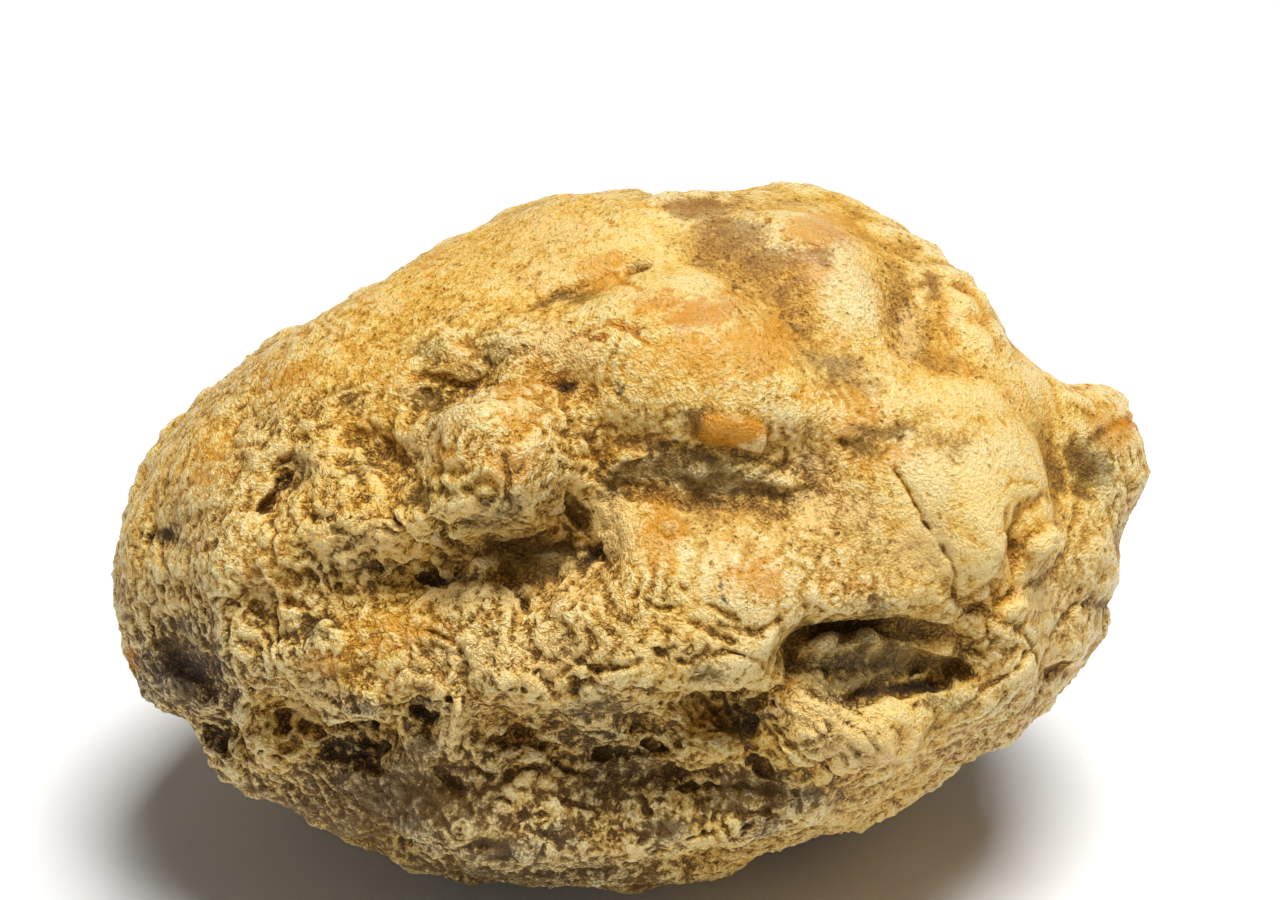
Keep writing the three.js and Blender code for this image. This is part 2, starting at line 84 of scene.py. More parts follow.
def copy_of_solid():
    """The solid's own shape as one closed mesh, cut into small faces."""
    only(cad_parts["geode"])
    bpy.ops.object.duplicate()
    piece = bpy.context.object
    piece.name = "geode_crust"
    piece.data.materials.clear()
    bpy.ops.object.mode_set(mode="EDIT")
    bpy.ops.mesh.select_all(action="SELECT")
    bpy.ops.mesh.remove_doubles(threshold=0.01 * MM)
    bpy.ops.object.mode_set(mode="OBJECT")
    points = points_of(piece)
    gentle = np.maximum(0.15, wear(points)[0])
    for place, radii, share in GENTLE:
        gentle = np.maximum(gentle, share * np.minimum(1, FULLER * patch(points, place, radii)))
    gentle *= ramp(on_face(points)[2], 3, 10)
    group = piece.vertex_groups.new(name="gentle")
    for index, share in enumerate(gentle):
        group.add([index], share, "REPLACE")
    finish_modifier(piece, "SMOOTH", iterations=14, factor=0.5, vertex_group="gentle")
    piece.vertex_groups.clear()
    levels = 3
    finish_modifier(piece, "SUBSURF", levels=levels, render_levels=levels)
    return piece


def points_of(piece):
    flat = np.empty(len(piece.data.vertices) * 3)
    piece.data.vertices.foreach_get("co", flat)
    return flat.reshape(-1, 3) / MM


def normals_of(piece):
    flat = np.empty(len(piece.data.vertices) * 3)
    piece.data.vertex_normals.foreach_get("vector", flat)
    return flat.reshape(-1, 3)


def set_points(piece, points):
    piece.data.vertices.foreach_set("co", (points * MM).ravel())
    piece.data.update()


def neighbours_mean(piece):
    """A function that gives each vertex the mean of a value over the vertices joined to it."""
    edges = np.empty(len(piece.data.edges) * 2, dtype=np.int64)
    piece.data.edges.foreach_get("vertices", edges)
    start, end = edges.reshape(-1, 2).T
    count = len(piece.data.vertices)
    joined = np.bincount(start, minlength=count) + np.bincount(end, minlength=count)

    def mean(value):
        if value.ndim == 2:
            return np.stack([mean(column) for column in value.T], axis=1)
        total = np.bincount(start, value[end], count) + np.bincount(end, value[start], count)
        return total / joined

    return mean


def smoothed(mean, value, rounds):
    for _ in range(rounds):
        value = 0.5 * value + 0.5 * mean(value)
    return value


def ramp(value, low, high):
    """0 below low, 1 above high, and smooth between."""
    share = np.clip((value - low) / (high - low), 0, 1)
    return share * share * (3 - 2 * share)


LATTICE = np.random.default_rng(11)
SHUFFLE = np.tile(LATTICE.permutation(256), 2)
SLOPES = LATTICE.normal(size=(256, 3))
SLOPES /= np.linalg.norm(SLOPES, axis=1, keepdims=True)


def swell(points, size, start=0):
    """Smooth random swelling, about -0.7 to 0.7, with this many millimetres from one swell to the next."""
    place = points / size + start * 17.31
    cell = np.floor(place).astype(np.int64)
    within = place - cell
    ease = within**3 * (within * (within * 6 - 15) + 10)
    total = np.zeros(len(points))
    for corner in np.ndindex(2, 2, 2):
        x, y, z = ((cell + corner) & 255).T
        slope = SLOPES[SHUFFLE[SHUFFLE[SHUFFLE[x] + y] + z]]
        weight = np.prod(np.where(corner, ease, 1 - ease), axis=1)
        total += weight * np.einsum("ij,ij->i", slope, within - corner)
    return total


def stirred(points, size, amount, start=0):
    """The points pushed about by swells of this size, to make straight things wander."""
    push = [swell(points, size, start + axis) for axis in (1, 2, 3)]
    return points + amount * np.stack(push, axis=1)


def on_face(points):
    """How far across, up and out from the middle of the show face the points are."""
    away = points - MIDDLE
    return away @ ACROSS, away @ UP, away @ OUT


def patch(points, place, radii):
    """1 in the middle of an oval patch of the show face, falling to 0 round it."""
    sight = points - EYE
    seen = EYE - MIDDLE - sight * ((EYE - MIDDLE) @ OUT / (sight @ OUT))[:, None]
    away = ((seen @ ACROSS - place[0]) / radii[0]) ** 2 + ((seen @ UP - place[1]) / radii[1]) ** 2
    return np.exp(-away) * ramp(on_face(points)[2], -6, 2)


class Crust:
    """The crust's vertices as they lay before any stroke, and how far each has been moved."""

    def __init__(self, piece):
        self.piece = piece
        self.points = points_of(piece)
        self.mean = neighbours_mean(piece)
        normals = smoothed(self.mean, normals_of(piece), 20)
        self.normals = normals / np.linalg.norm(normals, axis=1, keepdims=True)
        self.moved = np.zeros_like(self.points)
        self.felt = stirred(stirred(self.points, 2.2, 0.5), 0.8, 0.25, 5)
        self.surface = BVHTree.FromObject(piece, bpy.context.evaluated_depsgraph_get())

    def spot(self, place, back=False):
        """The place's spot on the crust, and the crust's normal there."""
        target = MIDDLE + place[0] * ACROSS + place[1] * UP
        sight = target - EYE
        start = EYE + sight * (2 if back else 0)
        sight = -sight if back else sight
        found, normal, _, _ = self.surface.ray_cast(Vector(start * MM), Vector(sight))
        if found is None:
            found, normal, _, _ = self.surface.find_nearest(Vector(target * MM))
        return np.array(found) / MM, np.array(normal)

    def trail(self, path, back=False):
        """Spots half a millimetre apart along a smooth line through the path's places."""
        places = np.array(path, dtype=float)
        if len(places) > 1:
            places = rounded_line(places, 0.5)
        spots = [self.spot(place, back) for place in places]
        return np.array([spot for spot, _ in spots]), np.array([normal for _, normal in spots])

    def near(self, spots, normals, reach):
        """The vertices within reach of a trail: which they are, how far from it, how far to its right,
        and the directions out of the crust and to the trail's right there."""
        low, high = spots.min(axis=0) - reach, spots.max(axis=0) + reach
        which = np.nonzero(np.all((self.felt > low) & (self.felt < high), axis=1))[0]
        points = self.felt[which]
        distance = np.full(len(which), np.inf)
        aside = np.zeros(len(which))
        right = np.zeros((len(which), 3))
        ends = spots[1:] if len(spots) > 1 else spots
        for start, end, normal in zip(spots, ends, normals):
            step = end - start
            length = max(step @ step, 1e-9)
            share = np.clip((points - start) @ step / length, 0, 1)
            away = points - start - share[:, None] * step
            here = np.linalg.norm(away, axis=1)
            closer = here < distance
            distance[closer] = here[closer]
            rightward = np.cross(step, normal) / math.sqrt(length)
            aside[closer] = (away @ rightward)[closer]
            right[closer] = rightward
        keep = distance < reach
        which, distance, aside, right = which[keep], distance[keep], aside[keep], right[keep]
        outward = 0.6 * self.normals[which] + 0.4 * normals.mean(axis=0)
        outward /= np.linalg.norm(outward, axis=1, keepdims=True)
        return which, distance, aside, outward, right

    def press(self, path, reach, depth, core, back=False):
        """A hollow along the path, or a swelling where the depth is negative. A core near 1 gives it
        steep walls and a flat floor."""
        spots, normals = self.trail(path, back)
        which, distance, _, outward, _ = self.near(spots, normals, reach)
        share = 1 - ramp(distance / reach, core, 1)
        share *= 1 + 0.8 * swell(self.points[which], 1.7, 15)
        self.moved[which] -= outward * (depth * share)[:, None]

    def ledge(self, path, drop, run, hang):
        """A step that drops on the right of the path. Its lip hangs over the drop."""
        spots, normals = self.trail(path)
        which, distance, aside, outward, right = self.near(spots, normals, run + 1.5)
        past_end = np.sqrt(np.maximum(distance**2 - aside**2, 0))
        ends = 1 - ramp(past_end, 0.3, 1.5)
        dropped = ramp(aside, -0.35, 0.35)
        foot = dropped * (1 - ramp(aside, 0.35, run))
        lip = (1 - dropped) * (1 - ramp(-aside, 0, run * 0.6))
        self.moved[which] += outward * (drop * ends * (0.35 * lip - foot))[:, None]
        self.moved[which] += right * (hang * ends * lip)[:, None]

    def settle(self):
        """Takes the strokes into the mesh."""
        set_points(self.piece, self.points + self.moved)


def rounded_line(places, step):
    """Points a step apart on a smooth curve through the places."""
    ends = np.vstack([2 * places[0] - places[1], places, 2 * places[-1] - places[-2]])
    line = []
    for before, start, end, after in zip(ends, ends[1:], ends[2:], ends[3:]):
        pieces = max(1, int(np.linalg.norm(end - start) / step))
        for share in np.arange(pieces) / pieces:
            bend = (2 * before - 5 * start + 4 * end - after) * share**2
            turn = (3 * start - before - 3 * end + after) * share**3
            line.append(0.5 * (2 * start + (end - before) * share + bend + turn))
    return np.array(line + [places[-1]])


# Hollows cut deeper and steeper than the solid has them: the path, how far it reaches, how deep it
# goes, and how much of it is floor.
PITS = {
    "under_lump_right": ([[-2.9, -1.4], [-1.9, -0.7]], 0.78, 0.47, 0.2),
    "under_lump_foot": ([[-8.2, -2.1], [-6.9, -3.4]], 0.59, 0.69, 0.3),
    "under_lump_notch": ([[-5.4, -1.6], [-4.7, -2.4]], 0.71, 0.25, 0.15),
    "horn": ([[-3.9, 2.6], [-3.3, 1.8], [-3, 1]], 0.78, 0.55, 0.35),
    "curl_pocket": ([[-13.3, -2.3], [-12.4, -2.5], [-11.7, -2.7]], 0.65, 0.45, 0.2),
    "small_hole": ([[-9.5, -4.5]], 0.63, 0.18, 0.15),
    "bead_foot": ([[2.2, 0.4], [3, 0.3]], 0.39, 0.18, 0.15),
    "slot": ([[-22.2, 4.3], [-22.6, 3.7], [-23.1, 3], [-23.7, 2.4], [-24, 2]], 0.56, 0.77, 0.4),
    "peep_a": ([[-20.5, 4.8]], 0.35, 0.18, 0.15),
    "peep_b": ([[-20, 2.9]], 0.63, 0.18, 0.15),
    "peep_c": ([[-17.3, 2.9]], 0.33, 0.39, 0.3),
    "oval_b": ([[-27.6, -0.3], [-27.2, -0.2]], 0.55, 0.2, 0.2),
    "slit": ([[-31.4, 0.4], [-31.8, -0.1]], 0.29, 0.54, 0.3),
    "ragged": ([[-30.7, 0.3], [-29.6, -0.1]], 0.94, 0.2, 0.1),
    "pocket": ([[-24.3, -4.1]], 0.46, 0.34, 0.4),
    "pocket_shade": ([[-23.7, -4.7], [-23, -5.4]], 0.72, 0.19, 0.2),
    "pocket_foot": ([[-23.9, -6.5], [-22.1, -6.1]], 0.47, 0.18, 0.15),
    "dome_shade": ([[-21.2, -5.6], [-20.3, -5.5]], 0.71, 0.25, 0.2),
    "flank_a": ([[-28.8, -2.2], [-28, -3.9]], 0.63, 0.18, 0.1),
    "flank_b": ([[-27.5, -4.7], [-26.7, -5.6]], 0.71, 0.15, 0.1),
    "upper_left_a": ([[-20.7, 8.4], [-20.1, 7.8]], 0.94, 0.18, 0.15),
    "upper_left_b": ([[-26.3, 6.7], [-25.5, 7]], 0.63, 0.18, 0.15),
    "upper_left_c": ([[-18, 6.7], [-16.7, 6.3]], 0.92, 0.28, 0.2),
    "upper_left_d": ([[-14.9, 5.6], [-14.6, 4.6]], 0.63, 0.18, 0.1),
    "facet": ([[-29.8, -8], [-28.6, -8.6], [-27.1, -9.8]], 0.92, 0.25, 0.3),
    "toe": ([[-27.5, -12.7], [-26.5, -13.2]], 0.92, 0.34, 0.4),
    "low_black": ([[-13.7, -11.2], [-12.9, -11.2]], 0.78, 0.78, 0.5),
    "low_black_tail": ([[-13.3, -12.3]], 0.78, 0.25, 0.15),
    "low_left": ([[-22.5, -11.6], [-22.5, -12.2]], 0.59, 0.47, 0.5),
    "low_left_foot": ([[-22.5, -13.4], [-21.8, -13.2]], 0.52, 0.27, 0.4),
    "low_mid": ([[-21.1, -12.4], [-20.4, -12.5]], 0.59, 0.39, 0.5),
    "low_wide": ([[-19.8, -13.9], [-18.7, -13.9], [-17.6, -14.2], [-16.7, -14.2]], 0.85, 0.59, 0.4),
    "low_wide_top": ([[-17.1, -13.1], [-15.9, -13.4]], 0.72, 0.5, 0.4),
    "low_wide_up": ([[-18.4, -10.5], [-18, -11.2]], 0.55, 0.23, 0.15),
    "seam_a": ([[-8, -12.9], [-6.5, -12.9], [-5.4, -13.3]], 0.65, 0.45, 0.35),
    "seam_b": ([[-2.6, -12.6], [-1.8, -12.7], [-1.2, -13]], 0.47, 0.23, 0.15),
    "seam_c": ([[-1.8, -13.9], [-0.2, -13.9], [1.1, -13.9], [2.4, -13.9]], 0.52, 0.5, 0.35),
    "seam_d": ([[1.4, -13.1], [2.1, -13.5]], 0.59, 0.5, 0.5),
    "seam_e": ([[-4.1, -14.6], [-3.7, -14.9]], 0.86, 0.23, 0.15),
    "seam_f": ([[-5.9, -16.8], [-5, -16.7]], 0.63, 0.23, 0.15),
    "seam_g": ([[2.6, -15.4], [3.3, -15.2]], 0.78, 0.25, 0.2),
    "seam_h": ([[3.7, -16.3], [4.7, -16.1], [6, -16.1]], 0.47, 0.25, 0.2),
    "seam_i": ([[-10, -12.3], [-9.7, -12.9]], 0.71, 0.23, 0.15),
    "grotto": ([[5.7, -11.2], [7, -11.9], [7.8, -12.5]], 0.98, 0.36, 0.1),
    "speckle_a": ([[-25.8, 2.4]], 0.31, 0.2, 0.1),
    "speckle_b": ([[-18, 1.3]], 0.31, 0.2, 0.1),
    "speckle_c": ([[-20.9, -2.2]], 0.39, 0.23, 0.1),
    "speckle_d": ([[-28.8, 3.5]], 0.39, 0.2, 0.1),
    "speckle_e": ([[-19.2, -4.9]], 0.39, 0.23, 0.1),
    "speckle_f": ([[-14.9, -6.5]], 0.39, 0.23, 0.1),
    "speckle_g": ([[-11.3, -7.5]], 0.39, 0.23, 0.1),
    "speckle_h": ([[-21.4, 6.5]], 0.39, 0.2, 0.1),
    "speckle_i": ([[-14.2, 1.3]], 0.39, 0.23, 0.1),
    "speckle_j": ([[-30.6, -3.3]], 0.39, 0.23, 0.1),
    "speckle_k": ([[-4.4, -6.5]], 0.39, 0.23, 0.1),
    "plug_hole": ([[8.4, -14.6], [9, -15.2]], 0.59, 0.59, 0.5),
    "low_dent_a": ([[-3.5, -18.3], [-2.5, -18.6]], 0.78, 0.18, 0.15),
    "low_dent_b": ([[-0.7, -19], [0.5, -18.8]], 0.78, 0.18, 0.15),
    "keel_shade": ([[-14.6, -19.8], [-13.3, -19.8]], 0.86, 0.2, 0.2),
    "keel_shade_b": ([[-10.8, -20], [-9.3, -19.9]], 0.86, 0.2, 0.2),
    "brow_notch": ([[-1.8, -9.8], [-0.8, -10]], 0.63, 0.18, 0.15),
    "cave_low": ([[14.8, -10.3], [16.8, -9.8], [18.8, -9.4], [21, -9.2]], 0.78, 0.59, 0.35),
    "cave_end": ([[21.4, -8.4], [22.1, -8.8]], 0.65, 0.59, 0.4),
    "recess": ([[27.6, -8.6], [28.4, -8.4]], 0.78, 0.42, 0.4),
    "jaw_hole": ([[24.3, -10.7]], 0.39, 0.18, 0.2),
    "lash_left": ([[-12.3, 10.2], [-11.3, 10], [-10.1, 9.9]], 0.65, 0.22, 0.25),
    "bowl": ([[-10.3, 13.2], [-9.3, 12.4]], 1.02, 0.2, 0.15),
    "lump_top_crease": ([[-5.4, 10.3], [-3.8, 10]], 0.63, 0.23, 0.15),
    "arch": ([[-5.2, 15.9], [-3.7, 16.3], [-2.1, 16.6]], 1.05, 0.23, 0),
    "egg": ([[-0.1, 17.6], [1, 17.9]], 0.59, 0.37, 0.3),
    "shelf_cut_a": ([[-2.8, 13.5], [-1.5, 13.2]], 0.55, 0.2, 0.15),
    "shelf_cut_b": ([[-0.5, 14.4], [0.4, 13.9]], 0.55, 0.2, 0.15),
    "deep_scoop": ([[29.5, 5.9], [30, 4.6], [29.9, 3.4]], 1.31, 0.46, 0.1),
    "scoop_eye": ([[30.1, 4.4]], 0.71, 0.23, 0.15),
    "finger_valley": ([[25.1, -1.4], [25.1, 0.7], [26.3, 2.4], [27.6, 3]], 0.78, 0.28, 0.15),
    "green_pit": ([[14.2, 6.1], [15.3, 6.3]], 0.63, 0.2, 0.15),
}

# The same on the side away from the show face.
BACK_PITS = {
    "back_hollow_a": ([[-14, 6], [-11, 7], [-9, 6.5]], 1.31, 1.3, 0.3),
    "back_hollow_b": ([[8, 9], [11, 7.5]], 1.18, 1.1, 0.3),
    "back_hollow_c": ([[17, -1], [19, -3], [20, -5]], 1.18, 1.3, 0.3),
    "back_hole_a": ([[-4, 1.5], [-3, 1]], 0.72, 1.6, 0.5),
    "back_hole_b": ([[4, -3.5], [4.6, -4]], 0.59, 1.3, 0.5),
    "back_hole_c": ([[-18, -4], [-17.3, -4.6]], 0.65, 1.3, 0.4),
    "back_hole_d": ([[13, 3.2], [13.5, 2.8]], 0.52, 1.1, 0.4),
    "back_hole_e": ([[-9, -6], [-8, -6.6], [-6.6, -6.2]], 0.65, 1.2, 0.4),
    "back_shelf_a": ([[-15, -9], [-11, -10], [-7, -9.8], [-3, -10.5]], 0.98, 0.9, 0.2),
    "back_shelf_b": ([[3, -9.5], [7, -10.5], [11, -9.5]], 0.98, 0.9, 0.2),
    "back_low_a": ([[-6, -15], [-4, -15.6]], 0.85, 1, 0.3),
    "back_low_b": ([[7, -15.5], [9, -15]], 0.85, 1, 0.3),
    "back_peep_a": ([[-22, 3]], 0.52, 0.9, 0.3),
    "back_peep_b": ([[1.5, 7.5]], 0.46, 0.8, 0.3),
    "back_peep_c": ([[-12, -1.5]], 0.46, 0.8, 0.3),
    "back_peep_d": ([[22, 6]], 0.52, 0.8, 0.3),
}
BACK_CREASES = {
    "back_crack": (
        [[-20, 9], [-17, 7], [-15.5, 4], [-13, 2], [-12, -0.5], [-9.5, -2.5]],
        0.33, 0.8,
    ),
    "back_seam": ([[2, 12], [4, 9.5], [3.5, 6.5], [6, 4], [9, 3], [12, 0.5]], 0.33, 0.7),
    "back_fold_a": ([[-5, -2], [-2, -3.5], [1, -3], [3, -4.5]], 0.39, 0.6),
    "back_fold_b": ([[12, -4], [14, -6], [17, -7.5]], 0.39, 0.6),
    "back_fold_c": ([[-23, -2], [-21, -5], [-18, -7]], 0.39, 0.6),
}

# Swellings, in the same words.
BUMPS = {
    "bead": ([[2.4, 1], [3, 1]], 0.53, 0.42, 0.3),
    "nodule": ([[5.5, 7.5], [7, 7.3], [8.3, 6.5]], 1.05, 0.49, 0.4),
    "dome": ([[-20, -6], [-19.1, -6.5]], 0.98, 0.56, 0.35),
    "pale_worm": ([[-14.6, -9], [-13.3, -9.4], [-12.2, -10.1]], 0.53, 0.35, 0.2),
    "pale_arc": ([[-23.9, -1.4], [-23.6, -2.6], [-22.6, -3.4]], 0.45, 0.35, 0.2),
    "lump_shine": ([[-10.1, 2.1], [-9, 1.8], [-8, 1.8]], 0.53, 0.35, 0.3),
    "finger_tip": ([[23.2, -3.3]], 0.9, 0.42, 0.3),
    "finger_two_tip": ([[26.9, -0.5], [27.7, 0]], 1.05, 0.49, 0.3),
    "finger_three": ([[24.8, -4.4], [25.6, -4.3]], 0.9, 0.35, 0.3),
    "curl_knob": ([[-8, -9.2]], 1.2, 0.42, 0.3),
    "swirl_knob": ([[-15.8, -12]], 0.9, 0.35, 0.3),
    "hanging_knob_a": ([[-19.5, -11.6], [-19, -12.2]], 0.9, 0.49, 0.3),
    "hanging_knob_b": ([[-22, -10.5]], 0.75, 0.28, 0.3),
    "rib": ([[-11.2, -10.5], [-11.2, -12.7]], 0.6, 0.42, 0.2),
    "cheek_knob_a": ([[12.5, -3.4], [14.2, -4.2]], 1.2, 0.35, 0.2),
    "cheek_knob_b": ([[-4.4, -4.6], [-2.5, -5.2]], 1.35, 0.28, 0.2),
    "shelf_knob": ([[10.6, -13.4], [11.9, -14.4]], 1.05, 0.35, 0.3),
    "beak": ([[28.4, 9.5], [29.9, 9]], 1.05, 0.28, 0.2),
    "low_knob_a": ([[-11.5, -17], [-10.8, -18.3]], 1.2, 0.35, 0.2),
    "low_knob_b": ([[-5.8, -17.8], [-4.4, -18.3]], 1.35, 0.35, 0.2),
    "low_knob_c": ([[-1.8, -15]], 1.05, 0.35, 0.2),
    "low_knob_d": ([[4.1, -13.4], [6, -13.2]], 1.05, 0.28, 0.2),
    "shoulder": ([[21, 16.3], [22.5, 14.5]], 4.66, 0.7, 0.1),
    "right_end": ([[32.7, 7.8], [33.5, 4.6]], 3.01, 0.42, 0.3),
    "right_flank": ([[30.7, -1.3], [30.8, -3.9], [29.5, -6.2]], 2.71, 0.7, 0.2),
    "cave_wall": ([[12, -7.1], [14.5, -6.8], [17.1, -6.5], [20.1, -6.7]], 1.88, 2.2, 0.3),
    "left_flank": ([[-31.9, 3.3], [-31.2, 6.5], [-29.4, 10.8]], 3.46, 0.77, 0.1),
    "left_top": ([[-27.6, 14.2], [-25.4, 16.7]], 3.01, 0.63, 0.1),
    "valley_fill": ([[0.3, 5], [3.4, 4.4], [6.7, 4.1], [9.8, 3.8]], 1.95, 1, 0.2),
    "crown_left": ([[-18.2, 16.2], [-14.9, 18.3]], 2.56, 0.63, 0.1),
    "crown_dip": ([[2.6, 22.2], [5.7, 22.2]], 1.95, 0.56, 0.1),
    "shoulder_edge": ([[21.4, 16.7], [24.3, 14.1]], 2.25, 0.42, 0.1),
    "crown_right": ([[17.1, 20.1], [19.4, 18.8]], 3.01, 0.63, 0.1),
    "beak_top": ([[30.2, 9.7], [32.2, 9]], 1.95, 0.49, 0.1),
    "under_lump_bed": ([[-9.7, -1.4], [-7.8, -1.8], [-5.6, -1.6]], 1.58, 1.3, 0.3),
}

# Ledges: the path, with the drop on its right, how deep it drops, how far the foot runs on, and how
# far the lip hangs over it.
LEDGES = {
    "lump_lip": (
        [[-11.8, 0.7], [-10.5, -0.4], [-9.3, -0.5], [-8, 0.1], [-6.4, 0.2], [-5.2, 0.7], [-4.4, 1.8],
         [-4.2, 2.7]],
        0.38, 1.2, 0.36,
    ),
    "curl_lip": (
        [[-15, -1.8], [-14.1, -1.1], [-12.9, -1], [-12.2, -1.6], [-11.6, -2.4]],
        0.16, 0.9, 0.28,
    ),
    "pocket_brow": ([[-2.9, -0.3], [-2, -0.3], [-1.4, -1]], 0.23, 0.68, 0.2),
    "long_lip": (
        [[-20.3, -2.2], [-18.8, -1.7], [-16.9, -1.4], [-15.7, -1.3], [-14.8, -2]],
        0.16, 1.05, 0.24,
    ),
    "left_swirl": (
        [[-21.4, 1.2], [-20.3, 0.6], [-19, 1.2], [-18, 0.3], [-16.5, -0.4], [-15, -0.3]],
        0.19, 0.68, 0.16,
    ),
    "cave_brow": (
        [[10.3, -7.5], [12, -6.7], [14.5, -6.1], [17.8, -5.9], [20.4, -6.1], [22.5, -7.2]],
        0.057, 0.9, 0.08,
    ),
    "cave_inner": (
        [[13.9, -9.9], [15, -9.4], [16, -9], [17.8, -8.4], [19.5, -7.7], [20.7, -7.5]],
        0.3, 0.9, 0.2,
    ),
    "brow_lip": ([[2.6, -10.8], [4.1, -10.5], [5.5, -10.1], [7.6, -10.1], [9.4, -9.8]], 0.23, 1.35, 0.2),
    "grotto_lip": (
        [[4.7, -11.4], [5.7, -10.8], [7.5, -10.7], [8.4, -11.9], [8.5, -13.4]],
        0.19, 0.75, 0.16,
    ),
    "hanging_a": (
        [[-23.5, -10.8], [-22.6, -10.5], [-21.6, -11.2], [-20.4, -11.9], [-19.5, -12.7], [-18.5, -12.7],
         [-17.4, -12.3], [-16.1, -12.9]],
        0.27, 0.9, 0.2,
    ),
    "hanging_b": ([[-14.4, -10.6], [-13.3, -10.3], [-12.4, -10.7], [-12.2, -11.6]], 0.23, 0.68, 0.2),
    "hanging_c": ([[-8.4, -12.4], [-7.1, -12.2], [-5.6, -12.5], [-4.7, -13.6]], 0.23, 0.75, 0.16),
    "thin_lip_a": (
        [[-10.3, -13.9], [-9.4, -14.9], [-7.7, -15.2], [-6.8, -14.6], [-5.2, -14.5]],
        0.27, 0.75, 0.2,
    ),
    "thin_lip_b": ([[1.4, -15.2], [2.6, -14.6], [4.1, -15], [5.8, -14.9]], 0.23, 0.68, 0.16),
    "thin_lip_c": ([[3.7, -15.9], [5.1, -15.6], [7, -15.8], [8.8, -16]], 0.23, 0.68, 0.16),
    "thin_lip_d": ([[0.8, -12.9], [1.8, -12.9], [2.9, -13.6]], 0.19, 0.6, 0.16),
    "keel_lip": (
        [[-15, -19.2], [-12.9, -20], [-11.5, -20.3], [-9.8, -19.5], [-8.4, -19.7], [-6.4, -21.3],
         [-4.7, -21.6], [-1.8, -21.3], [0.8, -20.9], [1.4, -20.3]],
        0.3, 1.2, 0.2,
    ),
    "arch_lip": (
        [[-6.5, 15.4], [-5.2, 16.1], [-3.3, 17], [-1.8, 17.6], [-0.8, 17.6], [0.8, 16.7]],
        0.13, 0.75, 0.08,
    ),
    "shelf_lip": ([[-3.5, 13.7], [-2.5, 14.1], [-0.8, 14.6], [0.8, 13.7]], 0.19, 0.68, 0.12),
    "upper_pocket_lip": ([[-13.3, 11], [-12, 11], [-10.3, 10.7], [-8.4, 10.6]], 0.19, 0.75, 0.12),
    "finger_step": (
        [[21.4, -3.1], [22.4, -4.1], [23.3, -4.1], [24.4, -3.4], [24.8, -1.4], [24.7, 1]],
        0.16, 0.9, 0.2,
    ),
    "finger_two": ([[25.6, -2.5], [27.3, -2.1], [28.4, -0.7], [28.9, 1.6]], 0.18, 0.98, 0.16),
    "beak_step": ([[33.1, 7.2], [32, 7.2], [30.8, 6.5]], 0.23, 0.9, 0.12),
    "facet_step": ([[-25.6, -5.6], [-25.9, -7.8], [-25.6, -9.8], [-26, -11.4]], 0.23, 0.9, 0.08),
    "toe_step": (
        [[-28.2, -11.9], [-27, -12], [-26.3, -13.2], [-25.1, -14.9], [-24.3, -16.3]],
        0.27, 0.9, 0.12,
    ),
}

